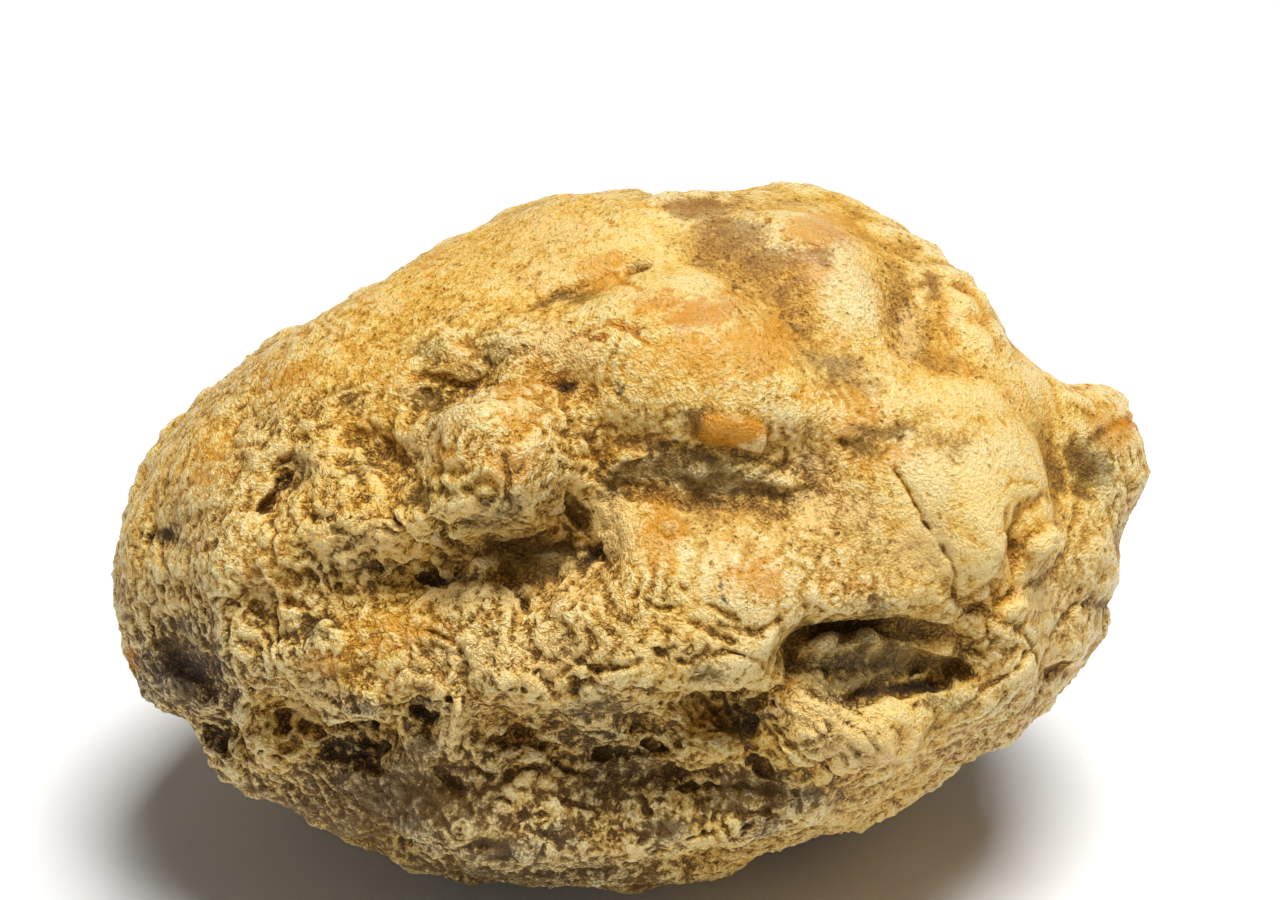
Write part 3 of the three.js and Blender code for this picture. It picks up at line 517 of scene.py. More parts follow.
# Thin creases and cracks: the path, how wide and how deep.
CREASES = {
    "lump_fold_a": ([[-11.9, 2.1], [-10.8, 1.4], [-9.5, 0.7], [-8, 0.7], [-7.1, 1.2]], 0.32, 0.32),
    "lump_fold_b": ([[-11.8, 2.7], [-10.5, 2.2], [-8.9, 1.6], [-7.6, 1.6]], 0.32, 0.28),
    "lump_fold_c": ([[-11, 3.4], [-9.7, 2.6], [-8, 2.6], [-6.7, 2.3]], 0.32, 0.21),
    "lump_side": ([[-12.2, 7.1], [-12.5, 5.6], [-12.4, 3.9], [-11.8, 2.5]], 0.43, 0.21),
    "lump_side_right": ([[-4.3, 9.7], [-3.7, 8], [-2.5, 6.5], [-1.7, 4.6]], 0.43, 0.32),
    "lump_split_a": ([[-13.3, 4.7], [-13.1, 3.1]], 0.29, 0.28),
    "lump_split_b": ([[-12.7, 4.9], [-12.4, 3.1]], 0.29, 0.28),
    "lump_split_c": ([[-8.2, 5.6], [-8, 3.9], [-7.6, 2.6]], 0.32, 0.24),
    "long_crack": ([[-6.7, -3.4], [-6.5, -4.9], [-6.3, -6.5], [-6.1, -8.4]], 0.29, 0.49),
    "plateau_a": ([[3.4, -2.9], [4.7, -4.1], [6.1, -4.6], [7.2, -5.4]], 0.32, 0.32),
    "plateau_b": ([[4.1, -5.2], [5.5, -6], [7, -6.5]], 0.32, 0.28),
    "plateau_c": ([[0.8, -3.9], [2.4, -4.4], [3.7, -4.2]], 0.29, 0.24),
    "plate_crack": (
        [[17.9, 6.8], [17.3, 5.8], [17.3, 4.8], [18.2, 3.4], [19, 1.8], [20, 0.3], [20.9, -1.2],
         [21.2, -2.6], [21.4, -3.7]],
        0.23, 0.52,
    ),
    "plate_crack_b": ([[24.3, 3], [25.1, 3.8], [26.3, 3.9], [27.3, 3.7]], 0.22, 0.1),
    "left_fold_a": ([[-23.4, 1.6], [-23.1, 0.3], [-23.4, -1.2]], 0.32, 0.28),
    "left_fold_b": ([[-22.4, 2.6], [-22.1, 1.3], [-22.5, -0.5]], 0.32, 0.28),
    "left_fold_c": ([[-21.2, 2.7], [-21.3, 1.6], [-22, 0]], 0.29, 0.24),
    "left_arc_a": ([[-21.4, -0.4], [-19.8, -1], [-18.2, -0.8], [-16.5, -1]], 0.32, 0.28),
    "left_arc_b": ([[-21.1, 1.8], [-19.8, 1.4], [-18.5, 1.6]], 0.29, 0.24),
    "left_arc_c": ([[-23.9, -2.9], [-23, -3.8], [-21.4, -4.2]], 0.29, 0.24),
    "flank_fold_a": ([[-31.2, -2.1], [-30.3, -3.8], [-29.8, -5.8]], 0.36, 0.32),
    "flank_fold_b": ([[-29.5, -3.1], [-28.6, -4.7], [-28.1, -6.7]], 0.36, 0.32),
    "flank_fold_c": ([[-27.8, -4.7], [-26.8, -3.9], [-25.5, -4.3]], 0.32, 0.28),
    "flank_fold_d": ([[-31.9, -3.9], [-31.2, -5.6], [-31.1, -6.9]], 0.36, 0.28),
    "rib_a": ([[-11.8, -10.8], [-11.9, -12.7], [-12.2, -14.4]], 0.36, 0.35),
    "rib_b": ([[-10.8, -10.5], [-10.5, -12.1], [-10.8, -13.9]], 0.32, 0.32),
    "curl_a": (
        [[-8.4, -8.6], [-7.7, -8.4], [-7.2, -9], [-7.6, -9.8], [-8.4, -9.8], [-8.8, -9.2]],
        0.32, 0.35,
    ),
    "curl_b": (
        [[-16.5, -11.9], [-15.9, -11.4], [-15.3, -11.6], [-15.2, -12.3], [-15.8, -12.7], [-16.4, -12.4]],
        0.29, 0.35,
    ),
    "worm_a": ([[-15, -8.6], [-13.6, -9.4], [-12.5, -10.1], [-11.9, -10.7]], 0.32, 0.32),
    "worm_b": ([[-14.8, -7.7], [-13.3, -8.1], [-11.8, -8.9]], 0.29, 0.28),
    "worm_c": ([[-11.5, -7.5], [-10.5, -8.9], [-10.3, -10.1]], 0.36, 0.35),
    "fold_a": ([[9.4, -10.8], [11.2, -11.9], [12.9, -13.2], [14.5, -14.7]], 0.32, 0.35),
    "fold_b": ([[10.3, -10.1], [12, -11.2], [13.7, -12.7], [15.3, -14.1]], 0.32, 0.35),
    "fold_c": ([[11.2, -9.4], [12.9, -10.5], [14.5, -11.9], [16.5, -13.4]], 0.32, 0.28),
    "fold_d": ([[9.7, -12.4], [11.2, -13.6], [12.7, -14.9], [13.9, -15.6]], 0.32, 0.32),
    "fold_e": ([[13.5, -9.8], [15.3, -11.2], [17, -12.9]], 0.32, 0.24),
    "jaw_fold_a": ([[23.3, -9.8], [25, -8.6], [26.6, -7.1]], 0.36, 0.28),
    "jaw_fold_b": ([[20.4, -12.7], [22.7, -11.8], [24.6, -10.5]], 0.36, 0.28),
    "jaw_fold_c": ([[25, -5.2], [26.3, -6.5], [26.9, -8]], 0.36, 0.28),
    "side_fold_a": ([[29.5, -3.9], [28.2, -5.6], [27.6, -7.2]], 0.36, 0.24),
    "band_a": ([[4.1, -19.5], [6, -19.1], [8.6, -18.7]], 0.29, 0.28),
    "band_b": ([[4.1, -18.4], [6.3, -18.2], [9.2, -17.8]], 0.29, 0.24),
    "band_c": ([[4.7, -20.3], [7, -19.9], [9.3, -19.3]], 0.29, 0.21),
    "brow_fold_a": ([[-4.4, -7.5], [-2.5, -8.4], [-0.5, -8.4], [0.9, -8]], 0.36, 0.35),
    "brow_fold_b": ([[-3.8, -9.2], [-1.8, -9.4], [0, -9.8], [2.1, -10.1]], 0.36, 0.35),
    "brow_fold_c": ([[-5.8, -8.4], [-5.2, -9.8], [-4.4, -10.8]], 0.4, 0.42),
    "brow_fold_d": ([[0.8, -6.5], [2.2, -7.5], [4.1, -7.8], [5, -7.2]], 0.36, 0.32),
    "brow_fold_e": ([[-3.4, -7.2], [-3.5, -8.8], [-3.7, -10.1]], 0.25, 0.28),
    "cheek_fold_a": ([[4.7, -7.8], [6.3, -7.2], [7.6, -7.5], [9, -8.4]], 0.36, 0.28),
    "cheek_fold_b": ([[6, -5.6], [8, -6], [9.9, -5.4]], 0.36, 0.24),
    "keel_fold_a": ([[-8.4, -17], [-7.1, -17.8], [-5.4, -17.8]], 0.36, 0.28),
    "keel_fold_b": ([[-4.4, -17], [-3.1, -17.3], [-1.8, -18]], 0.36, 0.28),
    "keel_fold_c": ([[-12.3, -15], [-11, -16.3], [-10.3, -18]], 0.36, 0.28),
    "keel_fold_d": ([[0.8, -17], [1.4, -18.3], [0.8, -19.7]], 0.36, 0.32),
}


def work_the_crust(piece):
    """All the strokes, laid on the crust as it was cut from the solid."""
    crust = Crust(piece)
    for path, reach, depth, core in PITS.values():
        crust.press(path, reach, depth, core)
    for path, reach, depth, core in BACK_PITS.values():
        crust.press(path, reach, depth, core, back=True)
    for path, reach, height, core in BUMPS.values():
        crust.press(path, reach, -height, core)
    for path, drop, run, hang in LEDGES.values():
        crust.ledge(path, drop, run, hang)
    for path, width, depth in CREASES.values():
        crust.press(path, width, depth, 0)
    for path, width, depth in BACK_CREASES.values():
        crust.press(path, width, depth, 0, back=True)
    crust.settle()


# Where the show face is worn smooth: the place, how far the patch reaches across and up, how far the
# knobs are worn away there, and how far the crumbs are.
WORN = [
    ([-3, 19], [15, 5.5], 0.95, 0.75), ([14, 18], [10, 6.5], 0.9, 0.65), ([22, 4.5], [6, 4.5], 0.9, 0.8),
    ([28.5, 6], [5, 6], 0.8, 0.6), ([29, -3], [4, 6], 0.5, 0.4), ([5, 11], [8, 5], 0.8, 0.5),
    ([9, 0.5], [11, 5.5], 0.75, 0.5), ([19, -1], [4, 3.5], 0.8, 0.5), ([-20, 14], [9, 5], 0.55, 0.6),
    ([-30, 6], [5, 6], 0.4, 0.4), ([19, 10.5], [6, 3], 0.9, 0.6), ([23, 13.5], [4, 5], 0.8, 0.6),
]


# Where the solid's ledges are only gentle bends: the place, how far each way, and how gentle.
GENTLE = [
    ([4, 4.5], [11, 5], 1), ([16, 13], [8, 7], 1), ([20, 9], [8, 3.5], 1), ([8, 17], [8, 5], 0.9),
    ([-17, -2.5], [6, 2.6], 1), ([22, -4], [4, 3], 0.6), ([26, 5], [6, 6], 0.7),
]


def wear(points):
    """How far the knobs and the crumbs are worn away at each of the points."""
    knobs, crumbs = np.zeros(len(points)), np.zeros(len(points))
    for place, radii, knobs_worn, crumbs_worn in WORN:
        here = np.minimum(1, FULLER * patch(points, place, radii))
        knobs = 1 - (1 - knobs) * (1 - knobs_worn * here)
        crumbs = 1 - (1 - crumbs) * (1 - crumbs_worn * here)
    return knobs, crumbs


def billow(points, size, start):
    """Rounded knobs with sharp creases between them, about -0.3 to 0.7."""
    return np.abs(swell(points, size, start)) * 1.5 - 0.3


def roughen(piece):
    """Knobs, folds, crumbs and pits all over the crust, but fewer where it is worn."""
    points, normals = points_of(piece), normals_of(piece)
    knobs_worn, crumbs_worn = wear(points)
    knobby, crumbly = 1 - knobs_worn, 1 - crumbs_worn
    knobby *= 1 - 0.5 * ramp(swell(points, 18, 9), 0.05, 0.35) * ramp(-on_face(points)[2], 0, 8)
    calm = ramp(-swell(points, 7, 95), -0.2, 0.25) * ramp(points[:, 0], -10, 4)
    crumbly *= 1 - 0.55 * calm

    knobs = billow(stirred(points, 4, 1.6, 20), KNOB_SIZE, 30)
    folds = np.sin(34 * swell(stirred(points, 2.2, 1.3, 40), FOLD_SIZE, 44))
    folded = ramp(swell(points, 5, 50), -0.1, 0.25) + 0.8 * patch(points, [-17, 0.5], [8, 4.5])
    crumbs = billow(stirred(points, 1.2, 0.6, 60), CRUMB_SIZE, 64)
    grit = billow(stirred(points, 0.8, 0.4, 70), GRIT_SIZE, 74)
    pores = ramp(swell(points, PORE_SIZE, 80), 0.25, 0.4) * ramp(swell(points, 5, 84), -0.15, 0.15)
    relief = knobby * (KNOB_HEIGHT * knobs + FOLD_HEIGHT * folded * folds)
    crumbled = (CRUMB_HEIGHT - 0.1 * knobs) * crumbs + GRIT_HEIGHT * grit - PORE_DEPTH * pores
    relief += crumbly * crumbled
    relief += 0.1 * swell(points, 2.4, 90)
    relief *= ramp(points[:, 2], 0, 1.5)
    points += normals * relief[:, None]
    points[:, 2] = np.maximum(points[:, 2], 0)
    set_points(piece, points)


def thin_out(piece):
    """Joins the smallest faces where the crust is flattest, until it is light enough to pass on."""
    piece.data.calc_loop_triangles()
    wanted = TRIANGLES_KEPT / len(piece.data.loop_triangles)
    finish_modifier(piece, "DECIMATE", ratio=min(1, wanted), use_collapse_triangulate=True)
    only(piece)
    bpy.ops.object.shade_smooth()


def crossings(points, faces):
    """The pairs of faces that cut through each other without sharing a corner."""
    surface = BVHTree.FromPolygons(points.tolist(), faces.tolist())
    pairs = np.array(surface.overlap(surface), dtype=np.int64).reshape(-1, 2)
    pairs = pairs[pairs[:, 0] < pairs[:, 1]]
    one, other = faces[pairs[:, 0]], faces[pairs[:, 1]]
    joined = (one[:, :, None] == other[:, None, :]).any(axis=(1, 2))
    return pairs[~joined]


def untangle(piece):
    """Relaxes the crust where an overhang was pushed through itself, until no face cuts another."""
    mean, points = neighbours_mean(piece), points_of(piece)
    corners = np.empty(len(piece.data.polygons) * 3, dtype=np.int64)
    piece.data.polygons.foreach_get("vertices", corners)
    faces = corners.reshape(-1, 3)
    for _ in range(UNTANGLE_TURNS):
        pairs = crossings(points, faces)
        if not len(pairs):
            break
        near = np.zeros(len(points))
        near[faces[pairs].ravel()] = 1
        near = (smoothed(mean, near, 2) > 0) * 1.0
        near = smoothed(mean, near, 3)[:, None]
        for _ in range(RELAX_ROUNDS):
            points += RELAX_PULL * near * (mean(points) - points)
    set_points(piece, points)


def shelter(piece, rays):
    """How far each vertex is shut in by the crust around it, from 0 in the open to 1."""
    reach = SHELTER_REACH * MM
    points, normals = points_of(piece), normals_of(piece)
    surface = BVHTree.FromObject(piece, bpy.context.evaluated_depsgraph_get())
    turns = np.random.default_rng(3).normal(size=(rays, 3))
    turns /= np.linalg.norm(turns, axis=1, keepdims=True)
    shut = np.zeros(len(points))
    for turn in turns:
        ways = normals + 0.95 * turn
        ways /= np.linalg.norm(ways, axis=1, keepdims=True)
        starts = (points + 0.12 * normals) * MM
        for index, (start, way) in enumerate(zip(starts.tolist(), ways.tolist())):
            _, _, _, distance = surface.ray_cast(start, way, reach)
            if distance is not None:
                shut[index] += 1 - distance / reach
    return shut / rays


def keep(piece, name, value):
    """Stores a number for each vertex under this name, for the material to read."""
    attribute = piece.data.attributes.new(name, "FLOAT", "POINT")
    attribute.data.foreach_set("value", value.astype(np.float32))


# Where the underside shows at the front and gets neither soil nor painted shade: the place and how far
# each way.
UNSOILED_UNSHADED = [([16, -15], [10, 6]), ([26, -9], [8, 8]), ([7.5, -20], [4, 2.5])]

# Stains, painted shade and painted light on the show face: the place, how far each reaches across and up,
# and how strong it is.
STAINS_AND_PAINTED_LIGHT = {
    "orange": [
        ([5.4, 15], [2, 1.6], 0.5), ([18.4, 9.8], [1.8, 1.6], 0.4), ([15.2, 17.6], [2.2, 1.8], 0.6),
        ([21.7, 7.2], [2, 1.8], 0.5), ([-27.3, -5.9], [2, 1.6], 0.5), ([8.6, 12.4], [2.8, 2.2], 1.1),
        ([-1.2, 17.6], [2.4, 1.4], 0.9), ([-7.7, 4.6], [2.2, 1.8], 1.1), ([31.5, 7.2], [1.8, 1.8], 1.2),
        ([12, 17.6], [2.6, 1.6], 1.2), ([-7.7, 9.8], [2, 1.4], 0.7), ([15.2, -3.3], [2.4, 1.6], 0.7),
        ([8.6, -2.4], [2.4, 2], 0.9), ([2.1, 0.6], [2, 2.4], 0.9), ([2.4, 15], [5, 1.6], 0.8),
        ([21.7, 15], [2.4, 2], 0.6), ([-11, 12.4], [2, 1.6], 0.6), ([11.9, 20.2], [2.8, 1.6], 1.1),
        ([-22, 10.8], [3, 2.2], 0.8), ([-12.9, 18.3], [2, 1.6], 0.6), ([-27.5, 5], [2, 3], 0.7),
        ([-11.7, 6], [1.6, 1.2], 0.8), ([-7, 7.5], [3, 1.8], 0.7), ([-24, -2], [3, 3], 0.4),
        ([5, 12], [6, 2.5], 0.8), ([14.5, 17], [3, 2.4], 0.6), ([21, 6.2], [4, 2], 0.6),
        ([-20.3, -8.3], [2.2, 1], 1), ([-16.9, -7.2], [2, 0.8], 0.8), ([-14.5, -5.6], [4, 1], 0.9),
        ([-6, 10.5], [4.5, 2.5], 0.6), ([12, 15], [6, 5], 0.35), ([13, -3], [4, 2], 0.5),
        ([16.2, 5.8], [4, 1.6], 0.8), ([20.8, 5.9], [3.5, 1.6], 0.7), ([14, 9.2], [6, 1.6], 0.6),
        ([15.2, 7.2], [2.6, 1.4], 1), ([-15, 11], [4, 3], 0.6), ([-18, 12], [3.5, 2.5], 0.4),
        ([-18, 8.6], [3, 2], 0.6), ([24, 12], [6, 4], 0.4), ([-1.5, 5.5], [2.5, 1.5], 0.6),
    ],
    "amber": [
        ([6.5, 7.3], [2.8, 1.1], 1.6), ([32.3, 7.9], [1.3, 0.6], 1.4), ([-32.4, -8], [0.9, 1], 1.2),
    ],
    "ash": [
        ([13.4, 11.6], [2.4, 1.2], 0.9), ([15.6, 10.4], [1.6, 1], 0.8), ([15, -8], [5, 1.5], 1.2),
        ([18, -7], [2, 0.8], 0.8),
    ],
    "pink": [
        ([4.6, 14.8], [3.4, 1.6], 1.1), ([1.4, 15.6], [2.6, 1.3], 0.9), ([2, 13.4], [3, 1.4], 0.5),
        ([-1, 13.5], [7, 2], 0.4), ([13, 19.5], [3, 2], 0.7), ([6.6, 7], [1.4, 1.2], 0.5),
    ],
    "purple": [
        ([4.4, 21.8], [2.6, 1], 1.1), ([7, 20.2], [3, 1.6], 1), ([9.6, 18.4], [3, 1.4], 0.9),
        ([12.6, 18.6], [2.4, 1.6], 0.9), ([10.4, 16.6], [2.6, 1.2], 0.7), ([19.9, 16.8], [1.8, 1.4], 0.7),
    ],
    # Olive patches: olive-brown crust, and painted shade under the lump, the brow and the cave lip.
    "olive": [
        ([-13.3, 12.4], [2.4, 1.4], 0.8), ([1.4, 15.7], [2.2, 1], 0.6), ([16.2, -4], [3, 1.6], 0.8),
        ([21, 5.9], [2.6, 1.6], 0.8), ([11.6, -16.6], [2.4, 1.6], 0.9), ([-20.8, -5.9], [2, 1.3], 1.1),
        ([5.4, -8.5], [2.6, 1.3], 0.9), ([4.4, 7.6], [1.8, 1.1], 1.1), ([-7.4, 2], [1.8, 1.3], 0.9),
        ([17, 7.2], [3.8, 0.9], 0.9), ([9, 12], [1.8, 1.4], 0.6), ([-17.5, 4.6], [2, 1.4], 0.8),
        ([-7.4, 4.8], [1.8, 1.6], 0.6), ([-1.2, -11.1], [2.4, 1], 1), ([2, 4.7], [4.4, 1.4], 1.4),
        ([6.2, 4.3], [4.2, 1.4], 1.3), ([9.2, 3.4], [2, 0.9], 0.8), ([-13.4, 2.6], [1.6, 1.6], 0.9),
        ([-8, 2.8], [3.6, 1.2], 0.5), ([16, -4.8], [3, 0.9], 0.7), ([3, -7.4], [4, 1.4], 0.6),
        ([15.2, 6.2], [2.2, 1], 0.9), ([30.4, 5], [2.2, 3], 1.2), ([-3.8, 1.6], [1.2, 2], 0.9),
        ([-6, -1.2], [4.4, 1.6], 1.2), ([15.5, -9.6], [5, 1], 1.3), ([20.5, -8.4], [2, 1.6], 0.9),
        ([-12, 10], [5, 2], 0.5), ([-13.3, 9.2], [2.4, 1.3], 0.9), ([-18.2, 9.2], [2.6, 1.3], 0.7),
        ([15.5, -6], [6, 1], 1.1), ([-18, -1.6], [3.5, 0.8], 0.8), ([20.6, -10.4], [2.6, 1.2], 0.9),
        ([-3.6, 15.8], [3.4, 0.9], 0.7), ([-8.4, 12.4], [3, 1.6], 0.8), ([-8.4, 1.3], [3.4, 1], 0.8),
        ([1, 17.7], [1, 0.6], 1), ([7.4, -11.4], [2.6, 1.6], 1), ([-3, -11.6], [3, 1.6], 0.8),
    ],
    # Grey patches: grey-brown crust low down and on the cave floor, darkened there as painted shade.
    "grey": [
        ([-18.5, -14.2], [4.4, 2.2], 0.8), ([-1.5, -12.4], [4.2, 3], 0.7), ([15.8, -7.5], [4.8, 1.5], 0.9),
        ([-9, -21.5], [8, 2.4], 0.7), ([7, -12.5], [1.8, 1.8], 0.8), ([-12.5, -11.2], [1.6, 1.2], 0.8),
    ],
    # Soil patches: dirt low down, and painted shade on the underside and the shadowed left facet.
    "soil": [
        ([2.1, -19], [2.6, 1.6], 1.3), ([-4.4, -19], [2.2, 1.4], 1.1), ([8.4, -18.8], [2.6, 1.2], 1),
        ([-17.5, -11.1], [2, 1.2], 1.1), ([-29, -5.9], [3.4, 1.4], 0.9), ([-11, -14], [2, 1.2], 0.7),
        ([-15, -17], [11, 4.5], 1.15), ([-8.5, -20.3], [4, 1.6], 1.1), ([-13.5, -13.8], [2.6, 1.6], 1.1),
        ([11.2, -17], [2.4, 1.4], 1), ([-29, -8.6], [4.6, 3.6], 1.2), ([0, -16], [7, 4], 0.9),
        ([8, -16.6], [5, 2.2], 1.2), ([-28.5, -9.5], [4, 4], 0.9), ([-22, -7.5], [3, 1.5], 0.6),
    ],
    # Dark patches: small dark chips, and painted shade on the shadowed left facet and the cave floor.
    "dark": [
        ([-0.7, 10.1], [0.35, 0.5], 1.8), ([-4.1, 10.1], [0.8, 0.3], 1.3), ([6.5, -2.5], [0.3, 0.3], 1.5),
        ([6.4, -3.3], [0.35, 0.3], 1.5), ([22, 10.2], [0.7, 0.2], 1), ([17.5, -9.6], [4, 0.6], 0.9),
        ([-28.8, -8.4], [3.2, 1.3], 0.9), ([-30.6, -8.9], [1.6, 1.4], 0.6), ([-27, -10], [1.6, 1.2], 0.7),
        ([-26.9, -13.2], [1.6, 1.6], 0.9), ([-30.4, 0.1], [1.6, 0.8], 0.9),
        ([-2.6, -0.9], [0.9, 0.7], 0.8), ([-12.6, -2.5], [1.4, 0.6], 0.9), ([-22.2, -12], [1.6, 1], 0.7),
        ([-18, -13.8], [3, 1], 0.8), ([-13.3, -11.3], [1.2, 0.8], 1.1), ([7.8, -12], [0.8, 0.6], 0.8),
        ([-5.5, -22.8], [9, 0.8], 0.5), ([-1.5, -12.6], [3, 0.6], 0.4), ([-22.4, 3.7], [0.7, 0.9], 0.7),
    ],
    # Pale patches: cream crust, and painted light on shaded spots, with a painted highlight on the lump.
    "pale": [
        ([-1, 1.4], [1.5, 2.8], 1.5), ([11.9, -8.5], [1.8, 1.2], 1), ([-20.8, 4.6], [1.8, 1.6], 0.9),
        ([-11, -11.1], [1.4, 1.2], 1.2), ([15.4, -13.4], [3, 1.8], 1.4), ([-24.1, 7.2], [2, 1.6], 0.7),
        ([-14.2, -5.9], [1.8, 1.6], 0.5), ([-4.2, 12.2], [2.6, 1.6], 1.2), ([-20.8, -10.8], [2, 0.9], 1.1),
        ([18.4, 13.4], [1.4, 2.6], 1), ([12, 1.9], [2.4, 1.6], 1), ([-4.4, 20.3], [4, 1.4], 0.9),
        ([11.9, 4.6], [2, 1.4], 0.9), ([-11, -3.4], [2.4, 1.2], 1.4), ([15.2, 2], [2.4, 2.4], 0.8),
        ([-24.1, -3.3], [1.6, 1.2], 0.9), ([-7.7, -3.5], [1.6, 1.2], 0.8),
        ([-15.9, 15.7], [1.3, 0.7], 1.2), ([-9, 2], [2.2, 0.6], 1.4), ([27.6, 0], [1.1, 0.8], 1.5),
        ([26.2, -4], [1.4, 1], 1.2), ([-10.9, -12.2], [0.9, 2], 1), ([-4, 18.5], [10, 4], 0.6),
        ([22, 4], [5, 5], 0.45), ([-9, 1.4], [3, 1.2], 1), ([4, -6.5], [8, 3], 0.5),
        ([13, -12], [4, 3], 1.1), ([-18, 0], [5, 2.6], 0.8), ([-13.5, -9], [2.6, 1.2], 0.8),
        ([-13.3, 5.9], [1.5, 1.5], 0.8), ([-10, -7.4], [5, 1.8], 0.9), ([-4, -7.4], [3, 1.8], 0.9),
        ([16.5, -13.7], [3, 1.6], 1), ([19.5, -0.6], [3.5, 2.5], 1), ([-20, -9.6], [3, 1], 0.7),
        ([-20.5, -15.9], [4.5, 1.4], 0.4), ([24, 9.6], [7, 1.6], 0.6), ([-6.5, -9], [3, 2], 0.6),
    ],
}


def keep_colour_numbers(piece):
    """What the crust material needs to know at each vertex."""
    points, normals = points_of(piece), normals_of(piece)
    mean = neighbours_mean(piece)
    for name, rounds, scale in (("fine_hollow", 5, 0.06), ("broad_hollow", 90, 0.7)):
        sunk = np.einsum("ij,ij->i", smoothed(mean, points, rounds) - points, normals)
        keep(piece, name, np.clip(sunk / scale, -1, 1))
    keep(piece, "shelter", shelter(piece, 12))
    keep(piece, "worn", wear(points)[1])
    loose = stirred(stirred(points, 4, 0.9, 100), 1.5, 0.6, 110)
    # Darker on faces that look down: soil, and painted shade on the underside.
    under = ramp(-smoothed(mean, normals, 120)[:, 2], -0.1, 0.5)
    under *= np.clip(0.8 + 0.9 * swell(loose, 7, 120) + 0.5 * swell(loose, 2.5, 130), 0, 1)
    for place, radii in UNSOILED_UNSHADED:
        under *= 1 - patch(points, place, radii)
    under *= 1 - ramp(points[:, 2], 17, 26)
    for name, patches in STAINS_AND_PAINTED_LIGHT.items():
        mask = under if name == "soil" else np.zeros(len(points))
        for place, radii, strength in patches:
            mask = np.maximum(mask, strength * patch(loose, place, radii))
        keep(piece, name, mask)


class Wire:
    """A node's output, for use in sums."""

    def __init__(self, finish, socket):
        self.finish = finish
        self.socket = socket

    def sum(self, operation, first, second=0.0):
        return self.finish.node("Math", {"operation": operation}, {0: first, 1: second})

    def __add__(self, other):
        return self.sum("ADD", self, other)

    def __sub__(self, other):
        return self.sum("SUBTRACT", self, other)

    def __mul__(self, other):
        return self.sum("MULTIPLY", self, other)

    def __rsub__(self, other):
        return self.sum("SUBTRACT", other, self)

    def __abs__(self):
        return self.sum("ABSOLUTE", self)

    __radd__ = __add__
    __rmul__ = __mul__

    def over(self, low, high):
        """0 where this is below low, 1 above high, and smooth between."""
        sockets = {"Value": self, "From Min": low, "From Max": high}
        return self.finish.node("MapRange", {"interpolation_type": "SMOOTHSTEP"}, sockets)


class Finish:
    """A material under construction."""

    def __init__(self, name):
        self.material = bpy.data.materials.new(name)
        self.material.use_nodes = True
        self.nodes = self.material.node_tree.nodes
        self.links = self.material.node_tree.links
        self.nodes.clear()

    def node(self, kind, settings=None, sockets=None, output=0):
        """A node with these settings, and with these values or wires on its sockets."""
        node = self.nodes.new("ShaderNode" + kind)
        for name, value in (settings or {}).items():
            if name == "stops":
                for at, shade in value[1:-1]:
                    node.color_ramp.elements.new(at)
                for element, (at, shade) in zip(node.color_ramp.elements, value):
                    element.position = at
                    element.color = shade
            else:
                setattr(node, name, value)
        for name, value in (sockets or {}).items():
            if isinstance(value, Wire):
                self.links.new(value.socket, node.inputs[name])
            else:
                node.inputs[name].default_value = value
        return Wire(self, node.outputs[output] if node.outputs else None)

    def number(self, name):
        """A number that the mesh keeps for each vertex."""
        return self.node("Attribute", {"attribute_name": name}, output="Fac")

    def noise(self, place, size, detail=3.0, roughness=0.55, distortion=0.0):
        """Noise round 0 with swells this many millimetres across."""
        sockets = {
            "Vector": place, "Scale": 1 / (size * MM), "Detail": detail,
            "Roughness": roughness, "Distortion": distortion,
        }
        return self.node("TexNoise", None, sockets, "Fac") - 0.5

    def cells(self, place, size):
        """How far from the middle of the nearest of many cells this many millimetres across."""
        sockets = {"Vector": place, "Scale": 1 / (size * MM)}
        return self.node("TexVoronoi", None, sockets, "Distance")

    def nudged(self, place, size, amount):
        """The place pushed about by noise, so that patterns on it wander."""
        sockets = {"Vector": place, "Scale": 1 / (size * MM), "Detail": 2.0}
        noise = self.node("TexNoise", None, sockets, "Color")
        sockets = {0: noise, 1: (0.5, 0.5, 0.5)}
        push = self.node("VectorMath", {"operation": "SUBTRACT"}, sockets)
        sockets = {0: push, "Scale": amount * MM}
        push = self.node("VectorMath", {"operation": "SCALE"}, sockets)
        return self.node("VectorMath", {"operation": "ADD"}, {0: place, 1: push})

    def tint(self, share, under, over):
        """The colour under, covered by the colour over where the share is 1."""
        settings = {"data_type": "RGBA"}
        return self.node("Mix", settings, {0: share, 6: under, 7: over}, 2)


def colour(red, green, blue):
    """A colour as a screen shows it, 0 to 255, for a socket."""
    share = [value / 255 for value in (red, green, blue)]
    return [((v + 0.055) / 1.055) ** 2.4 if v > 0.04045 else v / 12.92 for v in share] + [1]


